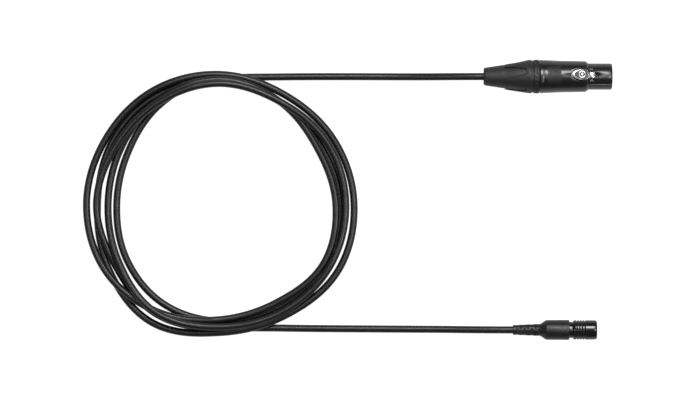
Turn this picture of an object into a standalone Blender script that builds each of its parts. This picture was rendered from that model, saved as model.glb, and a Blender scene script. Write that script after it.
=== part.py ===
"""A coiled microphone cable with a three-pole XLR socket at one end and a small locking socket at the other.

Metres, +Z up. The coil and both connectors lie on the plane z = 0, and both connectors face +X. Each
connector is modelled along X in the frame of its own empty, whose origin is the middle of the cable's way in.
"""

import math

import bmesh
import bpy
from mathutils import Matrix, Vector

MM = 0.001
GAP = 0.3 * MM                      # clearance between pieces that sit in, on or against one another
PAST = 1.0 * MM                     # how far a cutting shape reaches past what it cuts

# Cable
CABLE_D = 4.4 * MM
CORE_D = 1.4 * MM
DRAIN_D = 0.9 * MM
CORE_LAY_R = 0.9 * MM               # the cores' distance from the cable's middle, where the jacket ends
DRAIN_LAY_R = 1.3 * MM
SAMPLE_STEP = 10.0 * MM             # along the leads' tubes
CORE_STEPS = 6

# Coil: its middle, then the radius of every turn at each twelfth, counterclockwise from +Y
COIL_X, COIL_Y = -76.65 * MM, -2.5 * MM
COIL_RADII_MM = (
    (76.1, 70.3, 63.7, 62.2, 65.3, 69.1, 70.6, 71.7, 73.8, 72.6, 70.3, 71.5),
    (72.8, 75.4, 74.9, 73.8, 77.6, 82.3, 77.4, 77.8, 81.8, 80.9, 78.8, 76.5),
    (78.0, 79.1, 79.1, 80.3, 79.7, 74.9, 69.6, 68.5, 72.1, 69.9, 67.8, 71.5),
    (74.8, 72.7, 68.5, 67.3, 70.0, 75.5, 72.1, 72.0, 75.5, 75.9, 74.5, 71.4),
    (72.4, 71.2, 71.4, 74.1, 72.9, 74.3, 74.7),
)
KNOTS_PER_TURN = 12
COIL_STATIONS = 60
COIL_SIDE_HEIGHT = 9.4 * MM         # two strands deep at the sides
COIL_END_HEIGHT = 12.4 * MM         # up to three strands deep where the leads join
COIL_SHOULDER = 2.0 * MM
COIL_FOOT = 1.2 * MM

# Leads: the middle line from inside each connector to the coil
XLR_ROUTE_MM = (
    (110.1, 74.1, 10.2), (96.0, 74.1, 10.2), (84.0, 74.1, 10.2), (75.0, 74.05, 9.8), (64.0, 73.95, 8.3),
    (52.0, 73.85, 5.9), (41.0, 73.8, 3.7), (30.0, 73.75, 2.5), (19.0, 73.7, 2.2), (3.0, 73.7, 2.2),
    (-13.0, 73.7, 2.2), (-29.0, 73.65, 2.2), (-45.4, 73.6, 2.2),
)
MINI_ROUTE_MM = (
    (126.9, -78.3, 6.05), (112.0, -78.3, 6.05), (99.0, -78.3, 6.0), (89.0, -78.3, 5.6), (77.0, -78.25, 4.4),
    (65.0, -78.15, 3.1), (53.0, -78.05, 2.4), (41.0, -78.0, 2.2), (25.0, -77.9, 2.2), (9.0, -77.8, 2.2),
    (-7.0, -77.7, 2.2), (-24.0, -77.55, 2.2), (-42.4, -77.3, 2.2),
)

# XLR socket, along X from the cable's way in
XLR_X, XLR_Y = 82.1 * MM, 74.1 * MM
XLR_ROLL = math.radians(-6.5)       # it lies turned a little about its axis, its button towards +Y
XLR_JACKET_IN = 28.0 * MM
SLEEVE_BORE_D = 14.2 * MM
SLEEVE_WALL = 0.8 * MM
SLEEVE_D = SLEEVE_BORE_D + 2 * SLEEVE_WALL
SLEEVE_LENGTH = 14.2 * MM
SLEEVE_CHAMFER = 2.0 * MM
SLEEVE_EDGE = 0.6 * MM
BORE_STEP = 0.9 * MM                # the housing's bore is this much wider all round than the sleeve's
BORE_SLOPE = 0.4 * MM
SHELL_BORE_D = SLEEVE_BORE_D + 2 * BORE_STEP
SHELL_LENGTH = 43.5 * MM
SHELL_RIM_D = SHELL_BORE_D + 2 * 2.075 * MM
SHELL_RIM_LENGTH = 1.5 * MM
SHELL_WAIST_D = SHELL_BORE_D + 2 * 1.45 * MM
SHELL_FRONT_D = SHELL_BORE_D + 2 * 1.25 * MM
SHELL_FLARE_LENGTH = 16.9 * MM
SHELL_FLARE_POWER = 1.6
SHELL_EDGE = 0.4 * MM
RING_D = SHELL_BORE_D + 2 * 2.2 * MM
RING_LENGTH = 3.3 * MM
RING_TEETH = 24
RING_TOOTH_DEPTH = 0.35 * MM
BOOT_CONE_LENGTH = 12.0 * MM
BOOT_LENGTH = 27.0 * MM
BOOT_MOUTH_D = 10.9 * MM
BOOT_STEP_D = 13.9 * MM
BOOT_FRONT_D = 15.0 * MM
BOOT_EDGE_LENGTH, BOOT_EDGE_DEPTH = 1.4 * MM, 0.6 * MM
BUSHING_TIP_D = BOOT_STEP_D + 2 * (GAP + 0.4 * MM)
BUSHING_TIP_ROUND_LENGTH, BUSHING_TIP_ROUND = 1.8 * MM, 0.4 * MM
BUSHING_D = RING_D - 0.1 * MM
BUSHING_EDGE = 0.2 * MM
BUSHING_CONE_LENGTH = 16.3 * MM
BUSHING_SHOULDER_D = BUSHING_D - 0.9 * MM
BUSHING_SHOULDER_LENGTH = 1.1 * MM
BUSHING_NOSE_LENGTH = 7.8 * MM
BUSHING_NOSE_WALL = 1.5 * MM
BUSHING_WEB = 1.7 * MM
WINDOWS = 5
WINDOW_FIRST_ANGLE = math.radians(-17) - XLR_ROLL
WINDOW_MOUTH_WIDTH = 7.6 * MM
WINDOW_END_WIDTH = 4.8 * MM
WINDOW_LENGTH = 13.4 * MM
CHUCK_REAR_WALL = 1.9 * MM
CHUCK_REAR_D = CABLE_D + 2 * (GAP + CHUCK_REAR_WALL)
CHUCK_BODY_D = SHELL_BORE_D - 2 * (GAP + BUSHING_NOSE_WALL + GAP)
CHUCK_REAR_LENGTH = 11.8 * MM
CHUCK_CONE_LENGTH = 3.0 * MM
CHUCK_BODY_LENGTH = 5.7 * MM
CHUCK_FLANGE_LENGTH = 1.6 * MM
CHUCK_WALL = 0.6 * MM
CHUCK_SLOT = 0.8 * MM
CHUCK_SLOT_STOP = 1.5 * MM
WIRING_SPACE = 4.4 * MM             # between the chuck and the insert
INSERT_RECESS = 0.5 * MM
INSERT_EDGE = 0.4 * MM
INSERT_SHOULDER_BACK = 0.6 * MM     # behind the place where the housing's bore narrows
CONTACT_CIRCLE_R = 3.96 * MM
CONTACT_ANGLES = (0.0, 180.0, 270.0)
CONTACT_D = 2.8 * MM
CONTACT_BORE_D = 2.3 * MM
CONTACT_BORE_DEPTH = 15.0 * MM
CONTACT_RECESS = 0.8 * MM
CUP_D = 2.6 * MM
CUP_BORE_D = 1.7 * MM
CUP_LENGTH = 3.5 * MM
CUP_FLOOR = 0.5 * MM
TAB_ANGLE = math.radians(45)
TAB_WIDTH = 3.0 * MM
TAB_THICKNESS = 0.4 * MM
TAB_LENGTH = 7.6 * MM
TAB_RADIUS = SHELL_BORE_D / 2 - 0.7 * MM
TAB_TAIL_RADIUS = 4.2 * MM

# Latch, from the XLR's front face backwards where X is meant, and from its axis where height is meant
LATCH_PIVOT_BACK = 26.6 * MM
LATCH_PIVOT_HEIGHT = 6.2 * MM
LATCH_BOSS_R = 1.3 * MM
LATCH_WIDTH = 3.3 * MM
LATCH_LEVER_LOW, LATCH_LEVER_HIGH = 5.4 * MM, 6.5 * MM
LATCH_FRONT_BACK = 10.8 * MM
BUTTON_REAR_BACK, BUTTON_FRONT_BACK = 24.7 * MM, 14.9 * MM
BUTTON_WIDTH = 6.9 * MM
BUTTON_PROUD = 0.15 * MM
BUTTON_CORNER = 1.1 * MM
BUTTON_CLEARANCE = 0.45 * MM
BUTTON_WELL_CLEARANCE = 0.55 * MM
BUTTON_SUNK = 0.2 * MM              # into the lever
HOOK_REAR_BACK, HOOK_FRONT_BACK = 13.4 * MM, 11.6 * MM
HOOK_HIGH = 7.6 * MM
NOTCH_REAR_BACK, NOTCH_FRONT_BACK = 10.4 * MM, 7.9 * MM
NOTCH_WIDTH = 2.9 * MM
CHANNEL_FLOOR = 4.0 * MM
BUTTON_WELL_FLOOR = 5.1 * MM
PIN_D = 1.0 * MM
PIN_LENGTH = LATCH_WIDTH + 2 * 1.65 * MM
BOSS_HOLE_SIDES = 20
LATCH_SPRING_BACK = 18.6 * MM
LATCH_SPRING_R = 1.0 * MM
LATCH_SPRING_WIRE = 0.4 * MM
LATCH_SPRING_LOW = 1.9 * MM
LATCH_SPRING_TURNS = 4

# Small connector, along X from the cable's way in
MINI_X, MINI_Y = 99.9 * MM, -78.3 * MM
MINI_JACKET_IN = 27.0 * MM
RELIEF_WALL = 0.5 * MM
RELIEF_MOUTH_D = CABLE_D + 2 * (GAP + RELIEF_WALL)
RELIEF_END_D = RELIEF_MOUTH_D + 1.4 * MM
RELIEF_LENGTH = 16.8 * MM
RELIEF_STATIONS = 7
RELIEF_SLOTS = 4                    # round each station
RELIEF_FIRST_ANGLE = math.radians(7)
RELIEF_SLOT_FIRST = 2.5 * MM
RELIEF_SLOT_PITCH = 2.2 * MM
RELIEF_SLOT_LENGTH = 1.1 * MM
RELIEF_SLOT_WIDTH = 2.2 * MM
CRIMP_WALL = 0.5 * MM
CRIMP_LENGTH = 5.1 * MM
BARREL_BORE_D = CABLE_D + 2 * (GAP + CRIMP_WALL + GAP)
BARREL_TAIL_WALL = 0.5 * MM
BARREL_FRONT_WALL = 0.9 * MM
BARREL_FRONT_D = BARREL_BORE_D + 2 * BARREL_FRONT_WALL
BARREL_LENGTH = 27.6 * MM
BODY_D = 12.1 * MM
BODY_REAR_D = 11.9 * MM
BODY_TAPER_LENGTH = 3.0 * MM
BODY_LENGTH = 13.5 * MM
BODY_EDGE = 0.3 * MM
CAVITY_D = BARREL_BORE_D + 2 * (BARREL_TAIL_WALL + GAP)
CAVITY_DEPTH = 11.3 * MM
NECK_D = BARREL_FRONT_D + 2 * 0.7 * MM
NECK_LENGTH = 2.3 * MM
STOP_BACK = 9.0 * MM                # the barrel's spring stop, from its front face
STOP_LENGTH = 0.6 * MM
CLIP_GROOVE_BACK, CLIP_GROOVE_FRONT = 1.7 * MM, 0.8 * MM
CLIP_GROOVE_D = BARREL_FRONT_D - 2 * 0.45 * MM
CLIP_THICKNESS = 0.5 * MM
CLIP_OPENING = math.radians(50)
COUPLING_WALL = 0.65 * MM
COUPLING_D = NECK_D + 2 * (GAP + COUPLING_WALL)
COUPLING_LENGTH = 14.3 * MM
COUPLING_EDGE = 0.6 * MM
COUPLING_FRONT_EDGE = 1.0 * MM
COUPLING_STANDOFF = 0.3 * MM        # between the neck's front and the coupling ring's rear
COUPLING_LIP_BACK, COUPLING_LIP_FRONT = 3.7 * MM, 2.3 * MM
GRIP_GROOVES = 4
GRIP_FIRST = 2.2 * MM
GRIP_PITCH = 1.6 * MM
GRIP_WIDTH = 0.8 * MM
GRIP_DEPTH = 0.4 * MM
SPRING_WIRE = 0.4 * MM
SPRING_TURNS = 4
SPRING_SLACK = 0.3 * MM
MINI_INSERT_RECESS = 0.6 * MM
MINI_INSERT_LENGTH = 16.6 * MM
MINI_CONTACT_CIRCLE_R = 1.55 * MM
MINI_CONTACT_ANGLES = (90.0, 210.0, 330.0)
MINI_CONTACT_D = 1.6 * MM
MINI_CONTACT_BORE_D = 1.0 * MM
MINI_CONTACT_BORE_DEPTH = 7.0 * MM
MINI_CUP_LENGTH = 1.3 * MM
MINI_CORE_D = 1.1 * MM

# Finishes: base colour, roughness, metallic
BLACK_METAL = ((0.02, 0.02, 0.022), 0.35, 0.9)
SILVER = ((0.72, 0.72, 0.7), 0.3, 1.0)
GOLD = ((0.83, 0.62, 0.27), 0.3, 1.0)
STEEL = ((0.6, 0.6, 0.6), 0.4, 1.0)
RUBBER = ((0.025, 0.025, 0.027), 0.7, 0.0)
BLACK_PLASTIC = ((0.03, 0.03, 0.032), 0.45, 0.0)
JACKET = ((0.03, 0.03, 0.032), 0.5, 0.0)
RED_CORE = ((0.5, 0.03, 0.02), 0.5, 0.0)
WHITE_CORE = ((0.8, 0.8, 0.78), 0.5, 0.0)
COPPER = ((0.75, 0.4, 0.25), 0.4, 1.0)
NATURAL_NYLON = ((0.75, 0.73, 0.68), 0.5, 0.0)


def clear_scene():
    for obj in list(bpy.data.objects):
        bpy.data.objects.remove(obj, do_unlink=True)


def material(name, finish):
    colour, roughness, metallic = finish
    made = bpy.data.materials.new(name)
    made.use_nodes = True
    shader = made.node_tree.nodes["Principled BSDF"]
    shader.inputs["Base Color"].default_value = (*colour, 1.0)
    shader.inputs["Roughness"].default_value = roughness
    shader.inputs["Metallic"].default_value = metallic
    return made


def frame_at(name, place):
    empty = bpy.data.objects.new(name, None)
    empty.location = place
    bpy.context.scene.collection.objects.link(empty)
    return empty


def add(name, data, finish, parent=None, place=(0.0, 0.0, 0.0)):
    """One named piece with its own material, at a place in its parent's frame."""
    obj = bpy.data.objects.new(name, data)
    obj.location = place
    obj.parent = parent
    data.materials.append(material(name, finish))
    bpy.context.scene.collection.objects.link(obj)
    return obj


def mesh_from(shape, name, smooth_angle=35.0):
    bmesh.ops.recalc_face_normals(shape, faces=shape.faces)
    mesh = bpy.data.meshes.new(name)
    shape.to_mesh(mesh)
    shape.free()
    mesh.shade_smooth()
    mesh.set_sharp_from_angle(angle=math.radians(smooth_angle))
    return mesh


def turned(name, profile, sides=36):
    """A solid turned about X from (x, radius) points. Its ends join unless both lie on the axis."""
    shape = bmesh.new()
    points = [shape.verts.new((x, 0.0, radius)) for x, radius in profile]
    pairs = list(zip(points, points[1:]))
    if profile[0][1] > 0 or profile[-1][1] > 0:
        pairs.append((points[-1], points[0]))
    edges = [shape.edges.new(pair) for pair in pairs]
    bmesh.ops.spin(
        shape, geom=points + edges, cent=(0, 0, 0), axis=(1, 0, 0), angle=2 * math.pi, steps=sides
    )
    bmesh.ops.remove_doubles(shape, verts=shape.verts, dist=0.001 * MM)
    return mesh_from(shape, name)


def box(name, low, high):
    shape = bmesh.new()
    size = Vector(high) - Vector(low)
    centre = (Vector(high) + Vector(low)) / 2
    place = Matrix.Translation(centre) @ Matrix.Diagonal((*size, 1.0))
    bmesh.ops.create_cube(shape, size=1.0, matrix=place)
    return mesh_from(shape, name)


def prism(name, outline, low, high):
    """A flat outline of (x, y) points raised from one height to the other."""
    shape = bmesh.new()
    base = shape.faces.new([shape.verts.new((x, y, low)) for x, y in outline])
    raised = bmesh.ops.extrude_face_region(shape, geom=[base])["geom"]
    tops = [v for v in raised if isinstance(v, bmesh.types.BMVert)]
    bmesh.ops.translate(shape, verts=tops, vec=(0, 0, high - low))
    return mesh_from(shape, name)


def rod(name, radius, length, sides=24):
    """A plain round rod along Y, middle at the origin."""
    shape = bmesh.new()
    turn = Matrix.Rotation(math.radians(90), 4, "X")
    bmesh.ops.create_cone(
        shape, cap_ends=True, segments=sides, radius1=radius, radius2=radius, depth=length, matrix=turn
    )
    return mesh_from(shape, name)


def upright(name, radius, low, high, sides=24):
    """A plain round rod along Z."""
    shape = bmesh.new()
    bmesh.ops.create_cone(
        shape, cap_ends=True, segments=sides, radius1=radius, radius2=radius, depth=high - low,
        matrix=Matrix.Translation((0, 0, (low + high) / 2)),
    )
    return mesh_from(shape, name)


def lofted_ring(name, sections):
    """A closed ring through equal sections, each joined to the next and the last to the first."""
    shape = bmesh.new()
    rows = [[shape.verts.new(point) for point in section] for section in sections]
    for row, following in zip(rows, rows[1:] + rows[:1]):
        for i in range(len(row)):
            j = (i + 1) % len(row)
            shape.faces.new((row[i], row[j], following[j], following[i]))
    return mesh_from(shape, name)


def tube(name, points, diameter, resolution=2):
    """A round wire through the points, with closed ends."""
    curve = bpy.data.curves.new(name, "CURVE")
    curve.dimensions = "3D"
    curve.bevel_depth = diameter / 2
    curve.bevel_resolution = resolution
    curve.use_fill_caps = True
    spline = curve.splines.new("POLY")
    spline.points.add(len(points) - 1)
    for point, place in zip(spline.points, points):
        point.co = (*place, 1.0)
    return curve


def helper(name, mesh, parent=None, place=(0.0, 0.0, 0.0), turn=0.0):
    """A hidden cutting or joining shape, turned about X."""
    obj = bpy.data.objects.new(name, mesh)
    obj.location = place
    obj.rotation_euler = (turn, 0.0, 0.0)
    obj.parent = parent
    obj.hide_render = True
    obj.display_type = "WIRE"
    bpy.context.scene.collection.objects.link(obj)
    return obj


def combine(obj, other, operation):
    modifier = obj.modifiers.new(other.name, "BOOLEAN")
    modifier.operation = operation
    modifier.solver = "EXACT"
    modifier.object = other


def smooth_line(route, step):
    """Points about a step apart on the curve that runs smoothly through the route's own points."""
    ends = [2 * route[0] - route[1]] + list(route) + [2 * route[-1] - route[-2]]
    line = [route[0]]
    for before, here, there, after in zip(ends, ends[1:], ends[2:], ends[3:]):
        parts = max(1, round((there - here).length / step))
        for k in range(1, parts + 1):
            t = k / parts
            line.append(
                0.5 * (
                    2 * here + (there - before) * t
                    + (2 * before - 5 * here + 4 * there - after) * t * t
                    + (3 * here - before - 3 * there + after) * t ** 3
                )
            )
    return line


def coil_radius(turns):
    """Distance of the cable's middle from the coil's middle, that many turns after the XLR's lead joins."""
    radii = [MM * r for row in COIL_RADII_MM for r in row]
    at = min(max(turns * KNOTS_PER_TURN, 0.0), len(radii) - 1.0)
    k = min(int(at), len(radii) - 2)
    t = at - k
    rise = [(radii[min(i + 1, len(radii) - 1)] - radii[max(i - 1, 0)]) / 2 for i in (k, k + 1)]
    rise = [0.0 if i in (0, len(radii) - 1) else r for i, r in zip((k, k + 1), rise)]
    return (
        (2 * t ** 3 - 3 * t ** 2 + 1) * radii[k] + (t ** 3 - 2 * t ** 2 + t) * rise[0]
        + (3 * t ** 2 - 2 * t ** 3) * radii[k + 1] + (t ** 3 - t ** 2) * rise[1]
    )


def coil_section(station):
    """The coil's outline at one station: flat on the floor, round-shouldered on top."""
    share = station / COIL_STATIONS
    last = (sum(len(row) for row in COIL_RADII_MM) - 1) / KNOTS_PER_TURN
    radii = [coil_radius(turn + share) for turn in range(len(COIL_RADII_MM)) if turn + share <= last]
    inner = min(radii) - CABLE_D / 2
    outer = max(radii) + CABLE_D / 2
    angle = math.radians(90) + 2 * math.pi * share
    height = COIL_SIDE_HEIGHT + (COIL_END_HEIGHT - COIL_SIDE_HEIGHT) * math.sin(angle) ** 2
    corners = (
        (inner + COIL_FOOT, 0.0), (outer - COIL_FOOT, 0.0), (outer, COIL_FOOT),
        (outer, height - COIL_SHOULDER), (outer - COIL_SHOULDER, height),
        (inner + COIL_SHOULDER, height), (inner, height - COIL_SHOULDER), (inner, COIL_FOOT),
    )
    return [
        (COIL_X + radius * math.cos(angle), COIL_Y + radius * math.sin(angle), z) for radius, z in corners
    ]


def make_coil():
    sections = [coil_section(station) for station in range(COIL_STATIONS)]
    coil = add("cable_coil", lofted_ring("cable_coil", sections), JACKET)
    for name, route in (("xlr_stub", XLR_ROUTE_MM), ("mini_stub", MINI_ROUTE_MM)):
        last = Vector(route[-1]) * MM
        end = last.x - GAP
        stub = turned(name, ((COIL_X, 0.0), (COIL_X, CABLE_D / 2), (end, CABLE_D / 2), (end, 0.0)), sides=12)
        combine(coil, helper(name, stub, place=(0.0, last.y, CABLE_D / 2)), "UNION")


def make_leads():
    for name, route in (("cable_lead_xlr", XLR_ROUTE_MM), ("cable_lead_mini", MINI_ROUTE_MM)):
        points = smooth_line([Vector(point) * MM for point in route], SAMPLE_STEP)
        add(name, tube(name, points, CABLE_D), JACKET)


def make_core(name, parent, finish, diameter, start, end):
    """One wire that spreads from the jacket's end to its contact, each given as (x, radius, angle)."""
    points = []
    for k in range(CORE_STEPS + 1):
        t = k / CORE_STEPS
        ease = t * t * (3 - 2 * t)
        x = start[0] + (end[0] - start[0]) * t
        radius = start[1] + (end[1] - start[1]) * ease
        angle = math.radians(start[2] + (end[2] - start[2]) * ease)
        points.append((x, radius * math.cos(angle), radius * math.sin(angle)))
    add(name, tube(name, points, diameter, 1), finish, parent)


def cable_bore():
    return CABLE_D / 2 + GAP


def make_boot(xlr):
    cavity = CHUCK_REAR_D / 2 + GAP
    chuck_start = BOOT_LENGTH + GAP + BUSHING_WEB + GAP - CHUCK_REAR_LENGTH
    add("xlr_boot", turned("xlr_boot", (
        (0.0, cable_bore()), (0.0, BOOT_MOUTH_D / 2 - BOOT_EDGE_DEPTH),
        (BOOT_EDGE_LENGTH / 3, BOOT_MOUTH_D / 2 - BOOT_EDGE_DEPTH / 3), (BOOT_EDGE_LENGTH, BOOT_MOUTH_D / 2),
        (BOOT_CONE_LENGTH, BOOT_STEP_D / 2), (BOOT_LENGTH, BOOT_FRONT_D / 2),
        (BOOT_LENGTH, cavity), (chuck_start - GAP, cavity), (chuck_start - GAP, cable_bore()),
    )), RUBBER, xlr)
    return chuck_start


def window_outline():
    """A window of the bushing, open towards the cable and round at its other end."""
    start = -2 * PAST
    end_r = WINDOW_END_WIDTH / 2
    half = WINDOW_MOUTH_WIDTH / 2
    centre = WINDOW_LENGTH - end_r
    arc = [math.radians(90 - 180 * k / 8) for k in range(9)]
    points = [(start, half), (WINDOW_LENGTH * 0.3, half * 0.93)]
    points += [(centre + end_r * math.cos(a), end_r * math.sin(a)) for a in arc]
    return points + [(WINDOW_LENGTH * 0.3, -half * 0.93), (start, -half)]


def make_bushing(xlr):
    """The screwed rear collar. Five windows open it over the boot."""
    start = BOOT_CONE_LENGTH + GAP
    cone_end = start + BUSHING_CONE_LENGTH
    shoulder = cone_end + BUSHING_SHOULDER_LENGTH
    nose = shoulder + BUSHING_NOSE_LENGTH
    throat = CHUCK_REAR_D / 2 + GAP
    body = CHUCK_BODY_D / 2 + GAP
    web = BOOT_LENGTH + GAP
    bushing = add("xlr_bushing", turned("xlr_bushing", (
        (start, BUSHING_TIP_D / 2), (start + BUSHING_TIP_ROUND_LENGTH, BUSHING_TIP_D / 2 + BUSHING_TIP_ROUND),
        (cone_end - 2 * BUSHING_EDGE, BUSHING_D / 2), (cone_end, BUSHING_D / 2 - BUSHING_EDGE),
        (cone_end, BUSHING_SHOULDER_D / 2), (shoulder, BUSHING_SHOULDER_D / 2),
        (shoulder, SHELL_BORE_D / 2 - GAP), (nose, SHELL_BORE_D / 2 - GAP), (nose, body),
        (web + BUSHING_WEB + CHUCK_CONE_LENGTH, body), (web + BUSHING_WEB, throat), (web, throat),
        (web, BOOT_FRONT_D / 2 + GAP), (start, BOOT_STEP_D / 2 + GAP),
    )), RUBBER, xlr)
    for k in range(WINDOWS):
        name = f"window_{k + 1}"
        cutter = prism(name, window_outline(), CHUCK_REAR_D / 2, RING_D / 2 + PAST)
        turn = WINDOW_FIRST_ANGLE + 2 * math.pi * k / WINDOWS
        combine(bushing, helper(name, cutter, xlr, (start, 0.0, 0.0), turn), "DIFFERENCE")
    return shoulder, nose


def make_coding_ring(xlr, start):
    """A toothed ring that a coloured one can take the place of."""
    inner = SHELL_BORE_D / 2
    sections = []
    for k in range(2 * RING_TEETH):
        angle = math.pi * (k + 0.5) / RING_TEETH
        outer = RING_D / 2 - (RING_TOOTH_DEPTH if k // 2 % 2 else 0.0)
        corners = ((0.0, inner), (0.0, outer), (RING_LENGTH, outer), (RING_LENGTH, inner))
        sections.append([(start + x, r * math.cos(angle), r * math.sin(angle)) for x, r in corners])
    add("xlr_coding_ring", lofted_ring("xlr_coding_ring", sections), BLACK_PLASTIC, xlr)
    return start + RING_LENGTH


def make_chuck(xlr, start, nose):
    """The collet that the bushing presses onto the jacket, slit twice across its rear end."""
    rear = start + CHUCK_REAR_LENGTH
    cone = rear + CHUCK_CONE_LENGTH
    flange = max(cone + CHUCK_BODY_LENGTH, nose + GAP)
    front = flange + CHUCK_FLANGE_LENGTH
    chuck = add("xlr_chuck", turned("xlr_chuck", (
        (start, cable_bore()), (start, CHUCK_REAR_D / 2), (rear, CHUCK_REAR_D / 2), (cone, CHUCK_BODY_D / 2),
        (flange, CHUCK_BODY_D / 2), (flange, SHELL_BORE_D / 2 - GAP), (front, SHELL_BORE_D / 2 - GAP),
        (front, CHUCK_BODY_D / 2 - CHUCK_WALL), (flange - GAP, CHUCK_BODY_D / 2 - CHUCK_WALL),
        (XLR_JACKET_IN + GAP, cable_bore()),
    ), sides=32), NATURAL_NYLON, xlr)
    for name, half in (("chuck_slit_up", (CHUCK_SLOT / 2, CHUCK_REAR_D)),
                       ("chuck_slit_across", (CHUCK_REAR_D, CHUCK_SLOT / 2))):
        cutter = box(name, (start - PAST, -half[0], -half[1]), (rear - CHUCK_SLOT_STOP, half[0], half[1]))
        combine(chuck, helper(name, cutter, xlr), "DIFFERENCE")
    return front


def button_outline(clearance):
    """The press button from above: a shield with its point towards the cable."""
    rear = -BUTTON_REAR_BACK - clearance
    front = -BUTTON_FRONT_BACK + clearance
    half = BUTTON_WIDTH / 2 + clearance
    shoulder = rear + 0.68 * (front - rear)
    corner = BUTTON_CORNER + clearance
    side = []
    for k in range(1, 9):
        a = math.radians(90 * k / 8)
        side.append((shoulder - (shoulder - rear) * math.cos(a), half * math.sin(a)))
    for k in range(5):
        a = math.radians(90 * k / 4)
        side.append((front - corner + corner * math.sin(a), half - corner + corner * math.cos(a)))
    return [(rear, 0.0)] + side + [(x, -y) for x, y in reversed(side)]


def make_shell(xlr, rear, front):
    """The metal housing and its front sleeve, with the latch's window, slot and notch cut through its top."""
    sleeve = front - SLEEVE_LENGTH
    bore = SHELL_BORE_D / 2
    shoulder = sleeve - SLEEVE_CHAMFER
    flare = []
    for share in (0.12, 0.3, 0.5, 0.75, 1.0):
        radius = SHELL_WAIST_D / 2 + (SHELL_RIM_D - SHELL_WAIST_D) / 2 * (1 - share) ** SHELL_FLARE_POWER
        flare.append((rear + SHELL_RIM_LENGTH + SHELL_FLARE_LENGTH * share, radius))
    shell = add("xlr_shell", turned("xlr_shell", (
        (rear, bore), (rear, SHELL_RIM_D / 2 - SHELL_EDGE), (rear + SHELL_EDGE, SHELL_RIM_D / 2),
        (rear + SHELL_RIM_LENGTH, SHELL_RIM_D / 2), *flare, (shoulder, SHELL_FRONT_D / 2),
        (shoulder + SHELL_EDGE, SHELL_FRONT_D / 2 - SHELL_EDGE / 3), (sleeve, SLEEVE_D / 2),
        (front - SLEEVE_EDGE, SLEEVE_D / 2), (front - SLEEVE_EDGE / 4, SLEEVE_D / 2 - SLEEVE_EDGE * 0.4),
        (front, SLEEVE_D / 2 - SLEEVE_EDGE * 0.75), (front, SLEEVE_BORE_D / 2),
        (shoulder + BORE_SLOPE / 2, SLEEVE_BORE_D / 2), (shoulder - BORE_SLOPE / 2, bore),
    )), BLACK_METAL, xlr)
    high = SHELL_RIM_D / 2 + PAST
    window = prism("latch_window", button_outline(BUTTON_CLEARANCE), CHANNEL_FLOOR, high)
    slot_half = LATCH_WIDTH / 2 + 1.2 * GAP
    slot = box("hook_slot", (-HOOK_REAR_BACK - 1.3 * GAP, -slot_half, CHANNEL_FLOOR),
               (-HOOK_FRONT_BACK + 2 * GAP, slot_half, high))
    notch = box("latch_notch", (-NOTCH_REAR_BACK, -NOTCH_WIDTH / 2, CHANNEL_FLOOR),
                (-NOTCH_FRONT_BACK, NOTCH_WIDTH / 2, high))
    for mesh in (window, slot, notch):
        combine(shell, helper(mesh.name, mesh, xlr, (front, 0.0, 0.0)), "DIFFERENCE")


def make_insert(xlr, front, rear):
    """The insulator that holds the three contacts, the latch's bed and the earth tab's pocket."""
    face = front - INSERT_RECESS
    shoulder = front - SLEEVE_LENGTH - SLEEVE_CHAMFER - INSERT_SHOULDER_BACK
    insert = add("xlr_insert", turned("xlr_insert", (
        (rear, 0.0), (rear, SHELL_BORE_D / 2 - GAP), (shoulder, SHELL_BORE_D / 2 - GAP),
        (shoulder, SLEEVE_BORE_D / 2 - GAP), (face - INSERT_EDGE, SLEEVE_BORE_D / 2 - GAP),
        (face, SLEEVE_BORE_D / 2 - GAP - INSERT_EDGE), (face, 0.0),
    ), sides=40), BLACK_PLASTIC, xlr)
    high = SHELL_RIM_D / 2 + PAST
    channel_half = LATCH_WIDTH / 2 + 1.5 * GAP
    channel = box("latch_channel",
                  (-LATCH_PIVOT_BACK - LATCH_BOSS_R - 1.3 * GAP, -channel_half, CHANNEL_FLOOR),
                  (-NOTCH_FRONT_BACK, channel_half, high))
    well = prism("button_well", button_outline(BUTTON_WELL_CLEARANCE), BUTTON_WELL_FLOOR, high)
    pocket = upright("spring_pocket", LATCH_SPRING_R + LATCH_SPRING_WIRE / 2 + GAP,
                     LATCH_SPRING_LOW - GAP, BUTTON_WELL_FLOOR)
    for mesh in (channel, well):
        combine(insert, helper(mesh.name, mesh, xlr, (front, 0.0, 0.0)), "DIFFERENCE")
    combine(insert, helper("spring_pocket", pocket, xlr, (front - LATCH_SPRING_BACK, 0.0, 0.0)), "DIFFERENCE")
    hole = rod("pin_hole", PIN_D / 2 + GAP, PIN_LENGTH + 2 * GAP)
    pivot = (front - LATCH_PIVOT_BACK, 0.0, LATCH_PIVOT_HEIGHT)
    combine(insert, helper("pin_hole", hole, xlr, pivot), "DIFFERENCE")
    for number, angle in enumerate(CONTACT_ANGLES, 1):
        name = f"contact_hole_{number}"
        a = math.radians(angle)
        place = (0.0, CONTACT_CIRCLE_R * math.cos(a), CONTACT_CIRCLE_R * math.sin(a))
        cutter = turned(name, (
            (rear - PAST, 0.0), (rear - PAST, CONTACT_D / 2 + GAP),
            (face + PAST, CONTACT_D / 2 + GAP), (face + PAST, 0.0),
        ), sides=20)
        combine(insert, helper(name, cutter, xlr, place), "DIFFERENCE")
    slot = box("tab_pocket", (rear - PAST, -TAB_WIDTH / 2 - GAP, -SHELL_BORE_D / 2),
               (rear + TAB_LENGTH + GAP, TAB_WIDTH / 2 + GAP, -TAB_RADIUS + TAB_THICKNESS + GAP))
    combine(insert, helper("tab_pocket", slot, xlr, turn=TAB_ANGLE), "DIFFERENCE")
    return face


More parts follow.
